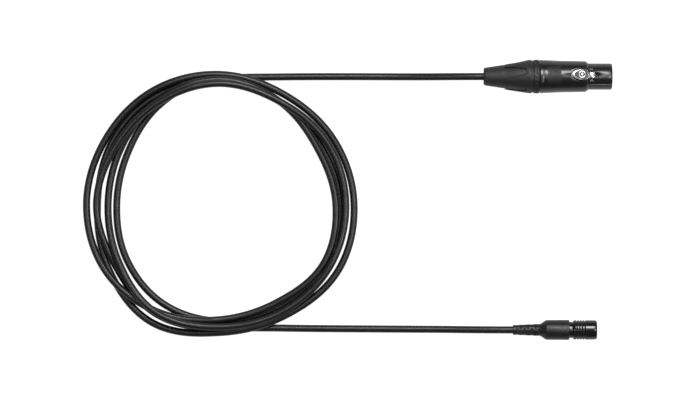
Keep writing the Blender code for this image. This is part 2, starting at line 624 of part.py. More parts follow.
def make_contacts(xlr, rear, face):
    """Three sockets, each with a solder cup at its back."""
    cup = rear - CUP_LENGTH
    front = face - CONTACT_RECESS
    for number, angle in enumerate(CONTACT_ANGLES, 1):
        a = math.radians(angle)
        place = (0.0, CONTACT_CIRCLE_R * math.cos(a), CONTACT_CIRCLE_R * math.sin(a))
        name = f"xlr_contact_{number}"
        add(name, turned(name, (
            (rear - CUP_FLOOR, 0.0), (rear - CUP_FLOOR, CUP_BORE_D / 2), (cup, CUP_BORE_D / 2),
            (cup, CUP_D / 2), (rear + CUP_FLOOR, CUP_D / 2), (rear + CUP_FLOOR, CONTACT_D / 2),
            (front, CONTACT_D / 2), (front, CONTACT_BORE_D / 2),
            (front - CONTACT_BORE_DEPTH, CONTACT_BORE_D / 2), (front - CONTACT_BORE_DEPTH, 0.0),
        ), sides=16), SILVER, xlr, place)
    return cup


def make_earth_tab(xlr, rear):
    """A bent strip from the drain wire's end to the housing's wall."""
    tail = rear - CUP_LENGTH + GAP
    tab = add("xlr_earth_tab", box(
        "xlr_earth_tab", (tail, -TAB_WIDTH / 2, -TAB_RADIUS),
        (rear + TAB_LENGTH, TAB_WIDTH / 2, -TAB_RADIUS + TAB_THICKNESS)
    ), SILVER, xlr)
    tab.rotation_euler = (TAB_ANGLE, 0.0, 0.0)
    leg = box("tab_leg", (tail, -TAB_WIDTH / 4, -TAB_RADIUS + TAB_THICKNESS / 2),
              (tail + TAB_THICKNESS, TAB_WIDTH / 4, -TAB_TAIL_RADIUS))
    combine(tab, helper("tab_leg", leg, xlr, turn=TAB_ANGLE), "UNION")
    return tail


def make_latch(xlr, front):
    """Button, lever and hook in one casting, which turns about the pin at its rear."""
    pivot = Vector((front - LATCH_PIVOT_BACK, 0.0, LATCH_PIVOT_HEIGHT))
    from_pivot = LATCH_PIVOT_BACK
    lever = box("xlr_latch", (0.0, -LATCH_WIDTH / 2, LATCH_LEVER_LOW - LATCH_PIVOT_HEIGHT),
                (from_pivot - LATCH_FRONT_BACK, LATCH_WIDTH / 2, LATCH_LEVER_HIGH - LATCH_PIVOT_HEIGHT))
    latch = add("xlr_latch", lever, SILVER, xlr, pivot)
    boss = helper("latch_boss", rod("latch_boss", LATCH_BOSS_R, LATCH_WIDTH), xlr, pivot)
    shield = prism("latch_button", button_outline(0.0), LATCH_LEVER_HIGH - BUTTON_SUNK, SHELL_RIM_D / 2)
    button = helper("latch_button", shield, xlr, (front, 0.0, 0.0))
    button_rear, button_front = front - BUTTON_REAR_BACK - PAST, front - BUTTON_FRONT_BACK + PAST
    crown = helper("button_crown", turned("button_crown", (
        (button_rear, 0.0), (button_rear, SHELL_WAIST_D / 2 + BUTTON_PROUD),
        (button_front, SHELL_FRONT_D / 2 + BUTTON_PROUD), (button_front, 0.0),
    ), sides=72), xlr)
    combine(button, crown, "INTERSECT")
    hook = helper("latch_hook", box(
        "latch_hook", (-HOOK_REAR_BACK, -LATCH_WIDTH / 2, (LATCH_LEVER_LOW + LATCH_LEVER_HIGH) / 2),
        (-HOOK_FRONT_BACK, LATCH_WIDTH / 2, HOOK_HIGH)
    ), xlr, (front, 0.0, 0.0))
    for other in (boss, button, hook):
        combine(latch, other, "UNION")
    hole = rod("boss_hole", PIN_D / 2 + GAP, LATCH_WIDTH + 2 * PAST, BOSS_HOLE_SIDES)
    combine(latch, helper("boss_hole", hole, xlr, pivot), "DIFFERENCE")
    add("xlr_latch_pin", rod("xlr_latch_pin", PIN_D / 2, PIN_LENGTH, 16), STEEL, xlr, pivot)


def helix(radius, start, end, turns, along):
    """Points of a helix about X or Z, from one end to the other."""
    steps = 10 * turns
    points = []
    for k in range(steps + 1):
        angle = 2 * math.pi * turns * k / steps
        height = start + (end - start) * k / steps
        a, b = radius * math.cos(angle), radius * math.sin(angle)
        points.append((height, a, b) if along == "X" else (a, b, height))
    return points


def make_latch_spring(xlr, front):
    wire = LATCH_SPRING_WIRE / 2
    low, high = LATCH_SPRING_LOW + wire, LATCH_LEVER_LOW - GAP - wire
    points = helix(LATCH_SPRING_R, low, high, LATCH_SPRING_TURNS, "Z")
    place = (front - LATCH_SPRING_BACK, 0.0, 0.0)
    add("xlr_latch_spring", tube("xlr_latch_spring", points, LATCH_SPRING_WIRE, 1), STEEL, xlr, place)


def make_xlr():
    xlr = frame_at("xlr_frame", (XLR_X, XLR_Y, RING_D / 2))
    xlr.rotation_euler = (XLR_ROLL, 0.0, 0.0)
    chuck_start = make_boot(xlr)
    shoulder, nose = make_bushing(xlr)
    ring_end = make_coding_ring(xlr, shoulder + GAP)
    chuck_front = make_chuck(xlr, chuck_start, nose)
    rear = ring_end + GAP
    front = rear + SHELL_LENGTH
    make_shell(xlr, rear, front)
    insert_rear = chuck_front + WIRING_SPACE
    face = make_insert(xlr, front, insert_rear)
    cup = make_contacts(xlr, insert_rear, face)
    tail = make_earth_tab(xlr, insert_rear)
    make_latch(xlr, front)
    make_latch_spring(xlr, front)
    start = XLR_JACKET_IN + GAP
    for name, finish, angle in (
        ("xlr_core_hot", RED_CORE, CONTACT_ANGLES[0]), ("xlr_core_cold", WHITE_CORE, CONTACT_ANGLES[1])
    ):
        make_core(name, xlr, finish, CORE_D, (start, CORE_LAY_R, angle), (cup - GAP, CONTACT_CIRCLE_R, angle))
    make_core("xlr_drain_wire", xlr, COPPER, DRAIN_D, (start, DRAIN_LAY_R, CONTACT_ANGLES[2]),
              (tail - GAP, TAB_TAIL_RADIUS + DRAIN_D / 2, CONTACT_ANGLES[2] + math.degrees(TAB_ANGLE)))


def make_mini_boot(mini):
    """The moulded grip and its slit strain relief, in one piece of rubber."""
    rear = RELIEF_LENGTH + BODY_TAPER_LENGTH
    front = rear + BODY_LENGTH
    boot = add("mini_boot", turned("mini_boot", (
        (0.0, cable_bore()), (0.0, RELIEF_MOUTH_D / 2), (RELIEF_LENGTH, RELIEF_END_D / 2),
        (rear - BODY_EDGE, BODY_REAR_D / 2 - BODY_EDGE), (rear, BODY_REAR_D / 2),
        (front - BODY_EDGE, BODY_D / 2),
        (front, BODY_D / 2 - BODY_EDGE), (front, CAVITY_D / 2), (front - CAVITY_DEPTH, CAVITY_D / 2),
        (front - CAVITY_DEPTH, cable_bore()),
    ), sides=28), RUBBER, mini)
    for station in range(RELIEF_STATIONS):
        x = RELIEF_SLOT_FIRST + station * RELIEF_SLOT_PITCH
        for k in range(RELIEF_SLOTS):
            name = f"relief_slot_{station + 1}_{k + 1}"
            cutter = box(name, (x - RELIEF_SLOT_LENGTH / 2, -RELIEF_SLOT_WIDTH / 2, CABLE_D / 2 - GAP),
                         (x + RELIEF_SLOT_LENGTH / 2, RELIEF_SLOT_WIDTH / 2, RELIEF_END_D))
            turn = RELIEF_FIRST_ANGLE + 2 * math.pi * (k + station % 2 / 2) / RELIEF_SLOTS
            combine(boot, helper(name, cutter, mini, turn=turn), "DIFFERENCE")
    return front


def make_mini_barrel(mini, rear):
    """The metal body: a tail inside the grip, a neck, and the tube that the coupling ring slides on."""
    tail = rear - (CAVITY_DEPTH - 2 * GAP)
    neck = rear + NECK_LENGTH
    front = tail + BARREL_LENGTH
    outer = BARREL_FRONT_D / 2
    stop = front - STOP_BACK
    add("mini_barrel", turned("mini_barrel", (
        (tail, BARREL_BORE_D / 2), (tail, CAVITY_D / 2 - GAP), (rear, CAVITY_D / 2 - GAP), (rear, NECK_D / 2),
        (neck, NECK_D / 2), (neck, outer), (stop - STOP_LENGTH, outer), (stop - STOP_LENGTH, NECK_D / 2),
        (stop, NECK_D / 2), (stop, outer), (front - CLIP_GROOVE_BACK, outer),
        (front - CLIP_GROOVE_BACK, CLIP_GROOVE_D / 2), (front - CLIP_GROOVE_FRONT, CLIP_GROOVE_D / 2),
        (front - CLIP_GROOVE_FRONT, outer), (front, outer), (front, BARREL_BORE_D / 2),
    ), sides=28), BLACK_METAL, mini)
    return neck, front, stop


def make_coupling_ring(mini, neck, barrel_front):
    """The ring that is pulled back to unlock, with four turned grip grooves."""
    start = neck + COUPLING_STANDOFF
    front = start + COUPLING_LENGTH
    outer = COUPLING_D / 2
    wide = NECK_D / 2 + GAP
    lip = BARREL_FRONT_D / 2 + GAP
    profile = [(start, outer - COUPLING_EDGE), (start + COUPLING_EDGE, outer)]
    for k in range(GRIP_GROOVES):
        x = start + GRIP_FIRST + k * GRIP_PITCH
        half = GRIP_WIDTH / 2
        profile += [(x - half, outer), (x - half * 0.5, outer - GRIP_DEPTH),
                    (x + half * 0.5, outer - GRIP_DEPTH), (x + half, outer)]
    profile += [
        (front - COUPLING_FRONT_EDGE, outer),
        (front - COUPLING_FRONT_EDGE * 0.3, outer - COUPLING_FRONT_EDGE * 0.2),
        (front, outer - COUPLING_FRONT_EDGE * 0.4), (front, wide), (front - COUPLING_LIP_FRONT, wide),
        (front - COUPLING_LIP_FRONT, lip), (front - COUPLING_LIP_BACK, lip),
        (front - COUPLING_LIP_BACK, wide), (start, wide),
    ]
    add("mini_coupling_ring", turned("mini_coupling_ring", profile, sides=28), BLACK_METAL, mini)
    return front - COUPLING_LIP_BACK


def make_ring_spring(mini, stop, lip):
    wire = SPRING_WIRE / 2
    rear, front = stop + SPRING_SLACK + wire, lip - SPRING_SLACK - wire
    points = helix(BARREL_FRONT_D / 2 + GAP + wire, rear, front, SPRING_TURNS, "X")
    add("mini_ring_spring", tube("mini_ring_spring", points, SPRING_WIRE, 1), STEEL, mini)


def make_clip(mini, barrel_front):
    """The open ring in the barrel's groove, which keeps the coupling ring on."""
    middle = barrel_front - (CLIP_GROOVE_BACK + CLIP_GROOVE_FRONT) / 2
    low, high = CLIP_GROOVE_D / 2 + GAP, NECK_D / 2
    half = CLIP_THICKNESS / 2
    clip = add("mini_retaining_clip", turned("mini_retaining_clip", (
        (middle - half, low), (middle - half, high), (middle + half, high), (middle + half, low)
    ), sides=28), STEEL, mini)
    width = high * math.sin(CLIP_OPENING / 2)
    opening = box("clip_opening", (middle - PAST, -width, -2 * high), (middle + PAST, width, 0.0))
    combine(clip, helper("clip_opening", opening, mini), "DIFFERENCE")


def make_mini_insert(mini, barrel_front):
    face = barrel_front - MINI_INSERT_RECESS
    rear = face - MINI_INSERT_LENGTH
    radius = BARREL_BORE_D / 2 - GAP
    insert = add("mini_insert", turned("mini_insert", (
        (rear, 0.0), (rear, radius), (face, radius), (face, 0.0)
    ), sides=32), BLACK_PLASTIC, mini)
    start = rear - MINI_CUP_LENGTH
    for number, angle in enumerate(MINI_CONTACT_ANGLES, 1):
        a = math.radians(angle)
        place = (0.0, MINI_CONTACT_CIRCLE_R * math.cos(a), MINI_CONTACT_CIRCLE_R * math.sin(a))
        hole = turned(f"mini_hole_{number}", (
            (rear - PAST, 0.0), (rear - PAST, MINI_CONTACT_D / 2 + GAP),
            (face + PAST, MINI_CONTACT_D / 2 + GAP), (face + PAST, 0.0),
        ), sides=16)
        combine(insert, helper(hole.name, hole, mini, place), "DIFFERENCE")
        name = f"mini_contact_{number}"
        front = face - GAP
        floor = front - MINI_CONTACT_BORE_DEPTH
        add(name, turned(name, (
            (start, 0.0), (start, MINI_CONTACT_D / 2), (front, MINI_CONTACT_D / 2),
            (front, MINI_CONTACT_BORE_D / 2), (floor, MINI_CONTACT_BORE_D / 2), (floor, 0.0),
        ), sides=16), GOLD, mini, place)
    return start


def make_crimp_sleeve(mini, barrel_tail):
    low, high = cable_bore(), cable_bore() + CRIMP_WALL
    start = barrel_tail + GAP
    end = start + CRIMP_LENGTH
    add("mini_crimp_sleeve", turned("mini_crimp_sleeve", (
        (start, low), (start, high), (end, high), (end, low)
    ), sides=32), STEEL, mini)


def make_mini():
    mini = frame_at("mini_frame", (MINI_X, MINI_Y, BODY_D / 2))
    body_front = make_mini_boot(mini)
    barrel_rear = body_front + GAP
    neck, barrel_front, stop = make_mini_barrel(mini, barrel_rear)
    lip = make_coupling_ring(mini, neck, barrel_front)
    make_ring_spring(mini, stop, lip)
    make_clip(mini, barrel_front)
    contact_rear = make_mini_insert(mini, barrel_front)
    make_crimp_sleeve(mini, barrel_rear - (CAVITY_DEPTH - 2 * GAP))
    wires = (("mini_core_hot", RED_CORE), ("mini_core_cold", WHITE_CORE), ("mini_drain_wire", COPPER))
    for (name, finish), angle in zip(wires, MINI_CONTACT_ANGLES):
        make_core(name, mini, finish, MINI_CORE_D, (MINI_JACKET_IN + GAP, CORE_LAY_R, angle),
                  (contact_rear - GAP, MINI_CONTACT_CIRCLE_R, angle))


def main():
    clear_scene()
    make_coil()
    make_leads()
    make_xlr()
    make_mini()


main()
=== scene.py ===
"""The looks of a coiled microphone cable, with an XLR socket on one lead and a small connector on the other.

Metres, +Z up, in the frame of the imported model. Outlines of turned pieces are in millimetres.
"""

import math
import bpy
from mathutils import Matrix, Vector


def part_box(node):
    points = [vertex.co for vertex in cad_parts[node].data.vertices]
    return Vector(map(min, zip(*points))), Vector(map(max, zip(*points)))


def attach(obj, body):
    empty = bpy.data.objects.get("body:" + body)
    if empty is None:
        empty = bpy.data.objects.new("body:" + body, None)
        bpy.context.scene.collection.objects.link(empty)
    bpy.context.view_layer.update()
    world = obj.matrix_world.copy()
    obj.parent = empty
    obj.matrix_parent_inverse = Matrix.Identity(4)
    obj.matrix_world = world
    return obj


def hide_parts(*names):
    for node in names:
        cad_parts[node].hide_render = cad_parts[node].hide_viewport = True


bl_info = {
    "name": "Microphone cable coil",
    "version": (1, 0, 0),
    "blender": (4, 5, 0),
    "location": "View3D > Sidebar > Cable coil",
    "description": "A coiled microphone cable with an XLR socket and a small locking connector",
    "category": "Add Mesh",
}

import bpy
import numpy as np
from bpy.props import FloatProperty, FloatVectorProperty, IntProperty, PointerProperty
from mathutils import Vector

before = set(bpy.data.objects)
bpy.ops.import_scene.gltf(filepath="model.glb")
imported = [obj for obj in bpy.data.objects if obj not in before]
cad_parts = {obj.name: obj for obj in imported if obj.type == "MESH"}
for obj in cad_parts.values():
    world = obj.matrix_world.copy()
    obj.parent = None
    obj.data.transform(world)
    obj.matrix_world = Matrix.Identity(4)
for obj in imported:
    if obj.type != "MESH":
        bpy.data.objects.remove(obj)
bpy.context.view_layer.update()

MM = 0.001
ROOT, LATCH, RING = "cable_assembly", "latch", "coupling_ring"


def middle(node):
    """The middle of a CAD node's box."""
    low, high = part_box(node)
    return (Vector(low) + Vector(high)) / 2


# Each connector's axis, and the X of its cable end and of other places along it; the XLR's roll
XLR_AXIS = middle("xlr_coding_ring")
XLR_ROLL = math.radians(-6.5)
XLR_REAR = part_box("xlr_boot")[0][0]
XLR_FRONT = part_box("xlr_shell")[1][0]
MINI_AXIS = middle("mini_boot")
MINI_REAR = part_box("mini_boot")[0][0]
RING_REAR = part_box("mini_coupling_ring")[0][0]
CODING_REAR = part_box("xlr_coding_ring")[0][0]
HOUSING_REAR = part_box("xlr_shell")[0][0]

# The cable: its own sizes, its coil's middle and turns, and its leads, from the XLR to the small connector
CABLE_D = 4.4 * MM
COIL_X, COIL_Y = -76.65 * MM, -2.5 * MM
COIL_RADII_MM = (
    (76.1, 70.3, 63.7, 62.2, 65.3, 69.1, 70.6, 71.7, 73.8, 72.6, 70.3, 71.5),
    (72.8, 75.4, 74.9, 73.8, 77.6, 82.3, 77.4, 77.8, 81.8, 80.9, 78.8, 76.5),
    (78.0, 79.1, 79.1, 80.3, 79.7, 74.9, 69.6, 68.5, 72.1, 69.9, 67.8, 71.5),
    (74.8, 72.7, 68.5, 67.3, 70.0, 75.5, 73.9, 74.9, 76.2, 75.9, 74.5, 71.4),
    (72.4, 71.2, 71.4, 74.1, 72.9, 76.6, 74.7),
)
KNOTS_PER_TURN = 12
XLR_ROUTE_MM = (
    (110.1, 74.1, 10.2), (96.0, 74.1, 10.2), (84.0, 74.1, 10.2), (75.0, 74.1, 9.8), (64.0, 74.1, 8.3),
    (52.0, 74.1, 5.9), (41.0, 74.15, 3.7), (30.0, 74.2, 2.5), (19.0, 74.25, 2.2), (3.0, 74.3, 2.2),
    (-13.0, 74.3, 2.2), (-29.0, 74.25, 2.2), (-45.4, 74.1, 2.2), (-60.0, 74.0, 2.2),
)
MINI_ROUTE_MM = (
    (126.9, -78.3, 6.05), (112.0, -78.3, 6.05), (99.0, -78.3, 6.0), (89.0, -78.3, 5.6), (77.0, -78.25, 4.4),
    (65.0, -78.15, 3.1), (53.0, -78.05, 2.4), (41.0, -78.0, 2.2), (25.0, -77.9, 2.2), (9.0, -77.8, 2.2),
    (-7.0, -77.7, 2.2), (-24.0, -77.55, 2.2), (-42.4, -77.3, 2.2), (-60.0, -77.2, 2.2),
)
CABLE_STEP = 2.4 * MM
STRAND_SPACING = CABLE_D + 0.1 * MM     # between the middles of strands that touch
SETTLE_ROUNDS, SETTLE_LAYERS = 40, 6    # rounds of settling, and strands a lift is handed up in each
SETTLE_REACH = 3.0                      # how far one round of settling spreads a hump, in steps
FIRST_REACH, LAST_REACH = 0.5, 0.8
CROSSING_APART = 5 * STRAND_SPACING     # nearer than this along the cable, two places don't cross
JOIN_ANGLE = math.radians(90)           # where the XLR's lead joins the coil
TAIL_LIFTS = 4 + 95 / 360               # turns at which the last strand starts on its way under the others
TAIL_UNDER = 4 + 165 / 360
UNDER_ALL = -1.0


class CableLook(bpy.types.PropertyGroup):
    diameter: FloatProperty(
        name="Diameter", description="Outer diameter of the jacket", default=CABLE_D,
        unit="LENGTH", precision=4,
    )
    jacket: FloatVectorProperty(
        name="Jacket", description="Colour of the jacket", subtype="COLOR", size=3,
        default=(0.006, 0.006, 0.0065),
    )


class SocketLook(bpy.types.PropertyGroup):
    rubber: FloatVectorProperty(
        name="Boot", description="Colour of the rubber boot", subtype="COLOR", size=3,
        default=(0.012, 0.012, 0.0125),
    )
    bushing: FloatVectorProperty(
        name="Bushing", description="Colour of the windowed collar", subtype="COLOR", size=3,
        default=(0.01, 0.01, 0.0108),
    )
    housing: FloatVectorProperty(
        name="Housing", description="Colour of the metal housing", subtype="COLOR", size=3,
        default=(0.004, 0.004, 0.0043),
    )
    button: FloatVectorProperty(
        name="Button", description="Colour of the press button", subtype="COLOR", size=3,
        default=(0.52, 0.52, 0.51),
    )
    teeth: IntProperty(name="Teeth", description="Teeth round the coding ring", default=24, min=8, max=60)


class SmallConnectorLook(bpy.types.PropertyGroup):
    grip: FloatVectorProperty(
        name="Grip", description="Colour of the moulded grip", subtype="COLOR", size=3,
        default=(0.006, 0.006, 0.0063),
    )
    ring: FloatVectorProperty(
        name="Coupling ring", description="Colour of the coupling ring", subtype="COLOR", size=3,
        default=(0.004, 0.004, 0.0045),
    )
    grooves: IntProperty(name="Grooves", description="Grip grooves round the ring", default=4, min=0, max=4)


class StageLook(bpy.types.PropertyGroup):
    floor: FloatVectorProperty(
        name="Floor", description="Colour of the floor", subtype="COLOR", size=3, default=(0.25, 0.25, 0.25)
    )
    glow: FloatProperty(name="Glow", description="Light that shows through the floor", default=0.97, min=0.0)
    underlay: FloatProperty(
        name="Underlay", description="Light of the floor that glossy surfaces reflect", default=0.45, min=0.0
    )
    distance: FloatProperty(
        name="Camera height", description="Camera's height over the cable", default=2.4, unit="LENGTH"
    )


# ---- Modelling

# Turns that lay an upright piece along X and along Y
LENGTHWAYS, ACROSS = (0, math.pi / 2, 0), (math.pi / 2, 0, 0)
CLOSED_END_R = 0.2      # millimetres: an outline that starts and ends nearer its axis is closed at both ends


def in_edit_mode():
    bpy.ops.object.mode_set(mode="EDIT")
    bpy.ops.mesh.select_mode(type="VERT")
    bpy.ops.mesh.select_all(action="SELECT")


def outward_and_out():
    """Turns every face outwards and leaves edit mode."""
    bpy.ops.mesh.select_all(action="SELECT")
    bpy.ops.mesh.normals_make_consistent(inside=False)
    bpy.ops.object.mode_set(mode="OBJECT")


def named(name):
    """Names the new active object, and leaves its place in its mesh."""
    piece = bpy.context.object
    piece.name = name
    piece.data.name = name
    bpy.ops.object.transform_apply(location=True, rotation=True, scale=True)
    return piece


def only(piece):
    bpy.ops.object.select_all(action="DESELECT")
    piece.select_set(True)
    bpy.context.view_layer.objects.active = piece


def turned(name, start, axis, outline, sides=96):
    """A piece turned about X: a circle drawn out along (x, radius) points in millimetres from start."""
    (x0, r0), *rest = outline
    bpy.ops.object.select_all(action="DESELECT")
    bpy.ops.mesh.primitive_circle_add(
        vertices=sides, radius=r0 * MM, location=(start + x0 * MM, axis.y, axis.z), rotation=LENGTHWAYS
    )
    piece = named(name)
    in_edit_mode()
    for x, r in rest:
        bpy.ops.mesh.extrude_region_move(TRANSFORM_OT_translate={"value": ((x - x0) * MM, 0, 0)})
        if r != r0:
            scale = r / r0
            middle_here = (start + x * MM, axis.y, axis.z)
            bpy.ops.transform.resize(value=(1, scale, scale), center_override=middle_here)
        x0, r0 = x, r
    bpy.ops.mesh.select_all(action="DESELECT")
    bpy.ops.mesh.select_non_manifold()
    if max(outline[0][1], outline[-1][1]) < CLOSED_END_R:
        bpy.ops.mesh.fill_holes(sides=0)
    else:
        bpy.ops.mesh.bridge_edge_loops()
    outward_and_out()
    return piece


def raised(name, outline, low, high):
    """A block raised from a flat outline: one point drawn out along (x, y) points in metres."""
    (x0, y0), *rest = outline
    bpy.ops.object.select_all(action="DESELECT")
    bpy.ops.mesh.primitive_plane_add(size=MM, location=(x0, y0, low))
    piece = named(name)
    in_edit_mode()
    bpy.ops.mesh.merge(type="CENTER")
    for x, y in rest:
        bpy.ops.mesh.extrude_region_move(TRANSFORM_OT_translate={"value": (x - x0, y - y0, 0)})
        x0, y0 = x, y
    bpy.ops.mesh.select_all(action="SELECT")
    bpy.ops.mesh.edge_face_add()
    bpy.ops.mesh.extrude_region_move(TRANSFORM_OT_translate={"value": (0, 0, high - low)})
    bpy.ops.mesh.select_all(action="SELECT")
    bpy.ops.mesh.fill_holes(sides=0)
    outward_and_out()
    return piece


def block(name, low, high):
    size = Vector(high) - Vector(low)
    bpy.ops.object.select_all(action="DESELECT")
    bpy.ops.mesh.primitive_cube_add(size=1, location=(Vector(low) + Vector(high)) / 2, scale=size)
    return named(name)


def rod(name, radius, depth, place, rotation=(0, 0, 0), sides=48):
    bpy.ops.object.select_all(action="DESELECT")
    bpy.ops.mesh.primitive_cylinder_add(
        vertices=sides, radius=radius, depth=depth, location=place, rotation=rotation
    )
    return named(name)


def ball(name, radius, place, segments, rings, **turn):
    bpy.ops.object.select_all(action="DESELECT")
    bpy.ops.mesh.primitive_uv_sphere_add(
        segments=segments, ring_count=rings, radius=radius, location=place, **turn
    )
    return named(name)


def rolled(piece, angle, axis):
    """Turns a piece about the connector's axis, from +Y towards +Z."""
    piece.rotation_euler = (angle, 0, 0)
    offset = Vector((0, axis.y, axis.z))
    turned_offset = Vector((
        0, offset.y * math.cos(angle) - offset.z * math.sin(angle),
        offset.y * math.sin(angle) + offset.z * math.cos(angle),
    ))
    piece.location = offset - turned_offset
    only(piece)
    bpy.ops.object.transform_apply(location=True, rotation=True, scale=True)
    return piece


def joined(pieces):
    """Several pieces as one mesh."""
    only(pieces[0])
    for piece in pieces[1:]:
        piece.select_set(True)
    bpy.ops.object.join()
    return pieces[0]


def combine(piece, other, operation="DIFFERENCE"):
    """Cuts, joins or keeps what is common, and uses up the other piece."""
    only(piece)
    bpy.ops.object.modifier_add(type="BOOLEAN")
    modifier = piece.modifiers[-1]
    modifier.object = other
    modifier.operation = operation
    modifier.solver = "EXACT"
    bpy.ops.object.modifier_apply(modifier=modifier.name)
    bpy.data.objects.remove(other, do_unlink=True)


def eased(piece, width, segments=2, angle=30):
    """Rounds the piece's sharp edges and shades it smooth."""
    only(piece)
    bpy.ops.object.modifier_add(type="BEVEL")
    modifier = piece.modifiers[-1]
    modifier.width = width
    modifier.segments = segments
    modifier.limit_method = "ANGLE"
    modifier.angle_limit = math.radians(angle)
    modifier.use_clamp_overlap = True
    bpy.ops.object.modifier_apply(modifier=modifier.name)
    bpy.ops.object.shade_smooth_by_angle(angle=math.radians(angle))


def dress(piece, material, body, slot, *nodes):
    """Gives a piece its material and its body, and the nodes it stands for."""
    piece.data.materials.clear()
    piece.data.materials.append(material)
    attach(piece, body)
    if nodes:
        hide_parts(*nodes)


# ---- Materials


def principled(name, colour, roughness, metallic=0.0, coat=0.0):
    material = bpy.data.materials.new(name)
    material.use_nodes = True
    shader = material.node_tree.nodes["Principled BSDF"]
    shader.inputs["Base Color"].default_value = (*colour, 1)
    shader.inputs["Roughness"].default_value = roughness
    shader.inputs["Metallic"].default_value = metallic
    shader.inputs["Coat Weight"].default_value = coat
    shader.inputs["Coat Roughness"].default_value = 0.12
    return material, material.node_tree, shader


def grain(tree, scale, detail=2.0, stretch=(1, 1, 1)):
    """Noise on the piece's own coordinates, with about scale lumps to the metre."""
    place = tree.nodes.new("ShaderNodeTexCoord")
    mapping = tree.nodes.new("ShaderNodeMapping")
    mapping.inputs["Scale"].default_value = stretch
    noise = tree.nodes.new("ShaderNodeTexNoise")
    noise.inputs["Scale"].default_value = scale
    noise.inputs["Detail"].default_value = detail
    tree.links.new(place.outputs["Object"], mapping.inputs["Vector"])
    tree.links.new(mapping.outputs["Vector"], noise.inputs["Vector"])
    return noise.outputs["Fac"]


def spread(tree, source, low, high, start=0.3, end=0.7):
    ranged = tree.nodes.new("ShaderNodeMapRange")
    ranged.inputs["From Min"].default_value = start
    ranged.inputs["From Max"].default_value = end
    ranged.inputs["To Min"].default_value = low
    ranged.inputs["To Max"].default_value = high
    tree.links.new(source, ranged.inputs["Value"])
    return ranged.outputs["Result"]


def tint(tree, shader, factor, dark, light):
    """Base colour from dark to light by a factor."""
    mix = tree.nodes.new("ShaderNodeMix")
    mix.data_type = "RGBA"
    mix.inputs["A"].default_value = (*dark, 1)
    mix.inputs["B"].default_value = (*light, 1)
    tree.links.new(factor, mix.inputs["Factor"])
    tree.links.new(mix.outputs["Result"], shader.inputs["Base Color"])


def relief(tree, shader, height, depth):
    bump = tree.nodes.new("ShaderNodeBump")
    bump.inputs["Strength"].default_value = 1.0
    bump.inputs["Distance"].default_value = depth
    tree.links.new(height, bump.inputs["Height"])
    tree.links.new(bump.outputs["Normal"], shader.inputs["Normal"])


def shaded(colour, factor):
    return tuple(min(1.0, channel * factor) for channel in colour)


def jacket_pvc(colour):
    """Smooth black PVC: faintly mottled, with a fine skin."""
    material, tree, shader = principled("jacket_pvc", colour, 0.37)
    tint(tree, shader, spread(tree, grain(tree, 60, 4), 0, 1), shaded(colour, 0.75), shaded(colour, 1.35))
    tree.links.new(spread(tree, grain(tree, 350, 3), 0.33, 0.42), shader.inputs["Roughness"])
    relief(tree, shader, grain(tree, 2200, 2), 0.02 * MM)
    return material


def boot_rubber(name, colour, roughness):
    """Matt moulded rubber with a sandblasted grain and a trace of dust."""
    material, tree, shader = principled(name, colour, roughness)
    tint(tree, shader, spread(tree, grain(tree, 250, 5), 0, 1, 0.4, 0.8), colour, shaded(colour, 1.6))
    worn = spread(tree, grain(tree, 500, 3), roughness - 0.05, roughness + 0.07)
    tree.links.new(worn, shader.inputs["Roughness"])
    relief(tree, shader, grain(tree, 3500, 3), 0.05 * MM)
    return material


def bushing_nylon(colour):
    """Glass-filled nylon with a fine spark-eroded texture."""
    material, tree, shader = principled("bushing_nylon", colour, 0.5)
    tint(tree, shader, spread(tree, grain(tree, 180, 4), 0, 1), shaded(colour, 0.85), shaded(colour, 1.3))
    tree.links.new(spread(tree, grain(tree, 900, 2), 0.42, 0.56), shader.inputs["Roughness"])
    relief(tree, shader, grain(tree, 4500, 2), 0.04 * MM)
    return material


def edge_factor(tree, start, end):
    """Near one on the piece's convex edges."""
    geometry = tree.nodes.new("ShaderNodeNewGeometry")
    return spread(tree, geometry.outputs["Pointiness"], 0, 1, start, end)


def housing_lacquer(colour):
    """Black lacquer over die-cast metal: slightly wavy, rubbed thin along its edges."""
    material, tree, shader = principled("housing_lacquer", colour, 0.32, coat=0.35)
    tint(tree, shader, edge_factor(tree, 0.53, 0.62), colour, (0.09, 0.09, 0.088))
    tree.links.new(spread(tree, grain(tree, 260, 4), 0.29, 0.37), shader.inputs["Roughness"])
    relief(tree, shader, grain(tree, 500, 1), 0.004 * MM)
    return material


def nickel_plate(colour):
    """Nickel-plated zinc, brushed along its length, with a faintly mottled tone."""
    material, tree, shader = principled("nickel_plate", colour, 0.2, metallic=1.0)
    brushed = grain(tree, 1800, 3, (0.08, 1, 1))
    tint(tree, shader, spread(tree, grain(tree, 600, 4), 0, 1), shaded(colour, 0.7), shaded(colour, 1.15))
    tree.links.new(spread(tree, brushed, 0.16, 0.26), shader.inputs["Roughness"])
    relief(tree, shader, brushed, 0.006 * MM)
    return material


def gloss_black_turning(colour):
    """Gloss-black turned metal with the tool's fine rings under the finish."""
    material, tree, shader = principled("gloss_black_turning", colour, 0.15, coat=0.2)
    tint(tree, shader, edge_factor(tree, 0.54, 0.64), colour, (0.07, 0.07, 0.07))
    rings = grain(tree, 2500, 1, (1, 0.02, 0.02))
    tree.links.new(spread(tree, rings, 0.13, 0.22), shader.inputs["Roughness"])
    relief(tree, shader, rings, 0.008 * MM)
    return material


def neck_metal():
    """Dark blasted metal between the grip and the ring."""
    colour = (0.05, 0.05, 0.052)
    material, tree, shader = principled("neck_metal", colour, 0.28, metallic=1.0)
    rings = grain(tree, 2000, 2, (1, 0.03, 0.03))
    tint(tree, shader, spread(tree, rings, 0, 1), colour, shaded(colour, 2.2))
    relief(tree, shader, rings, 0.01 * MM)
    return material


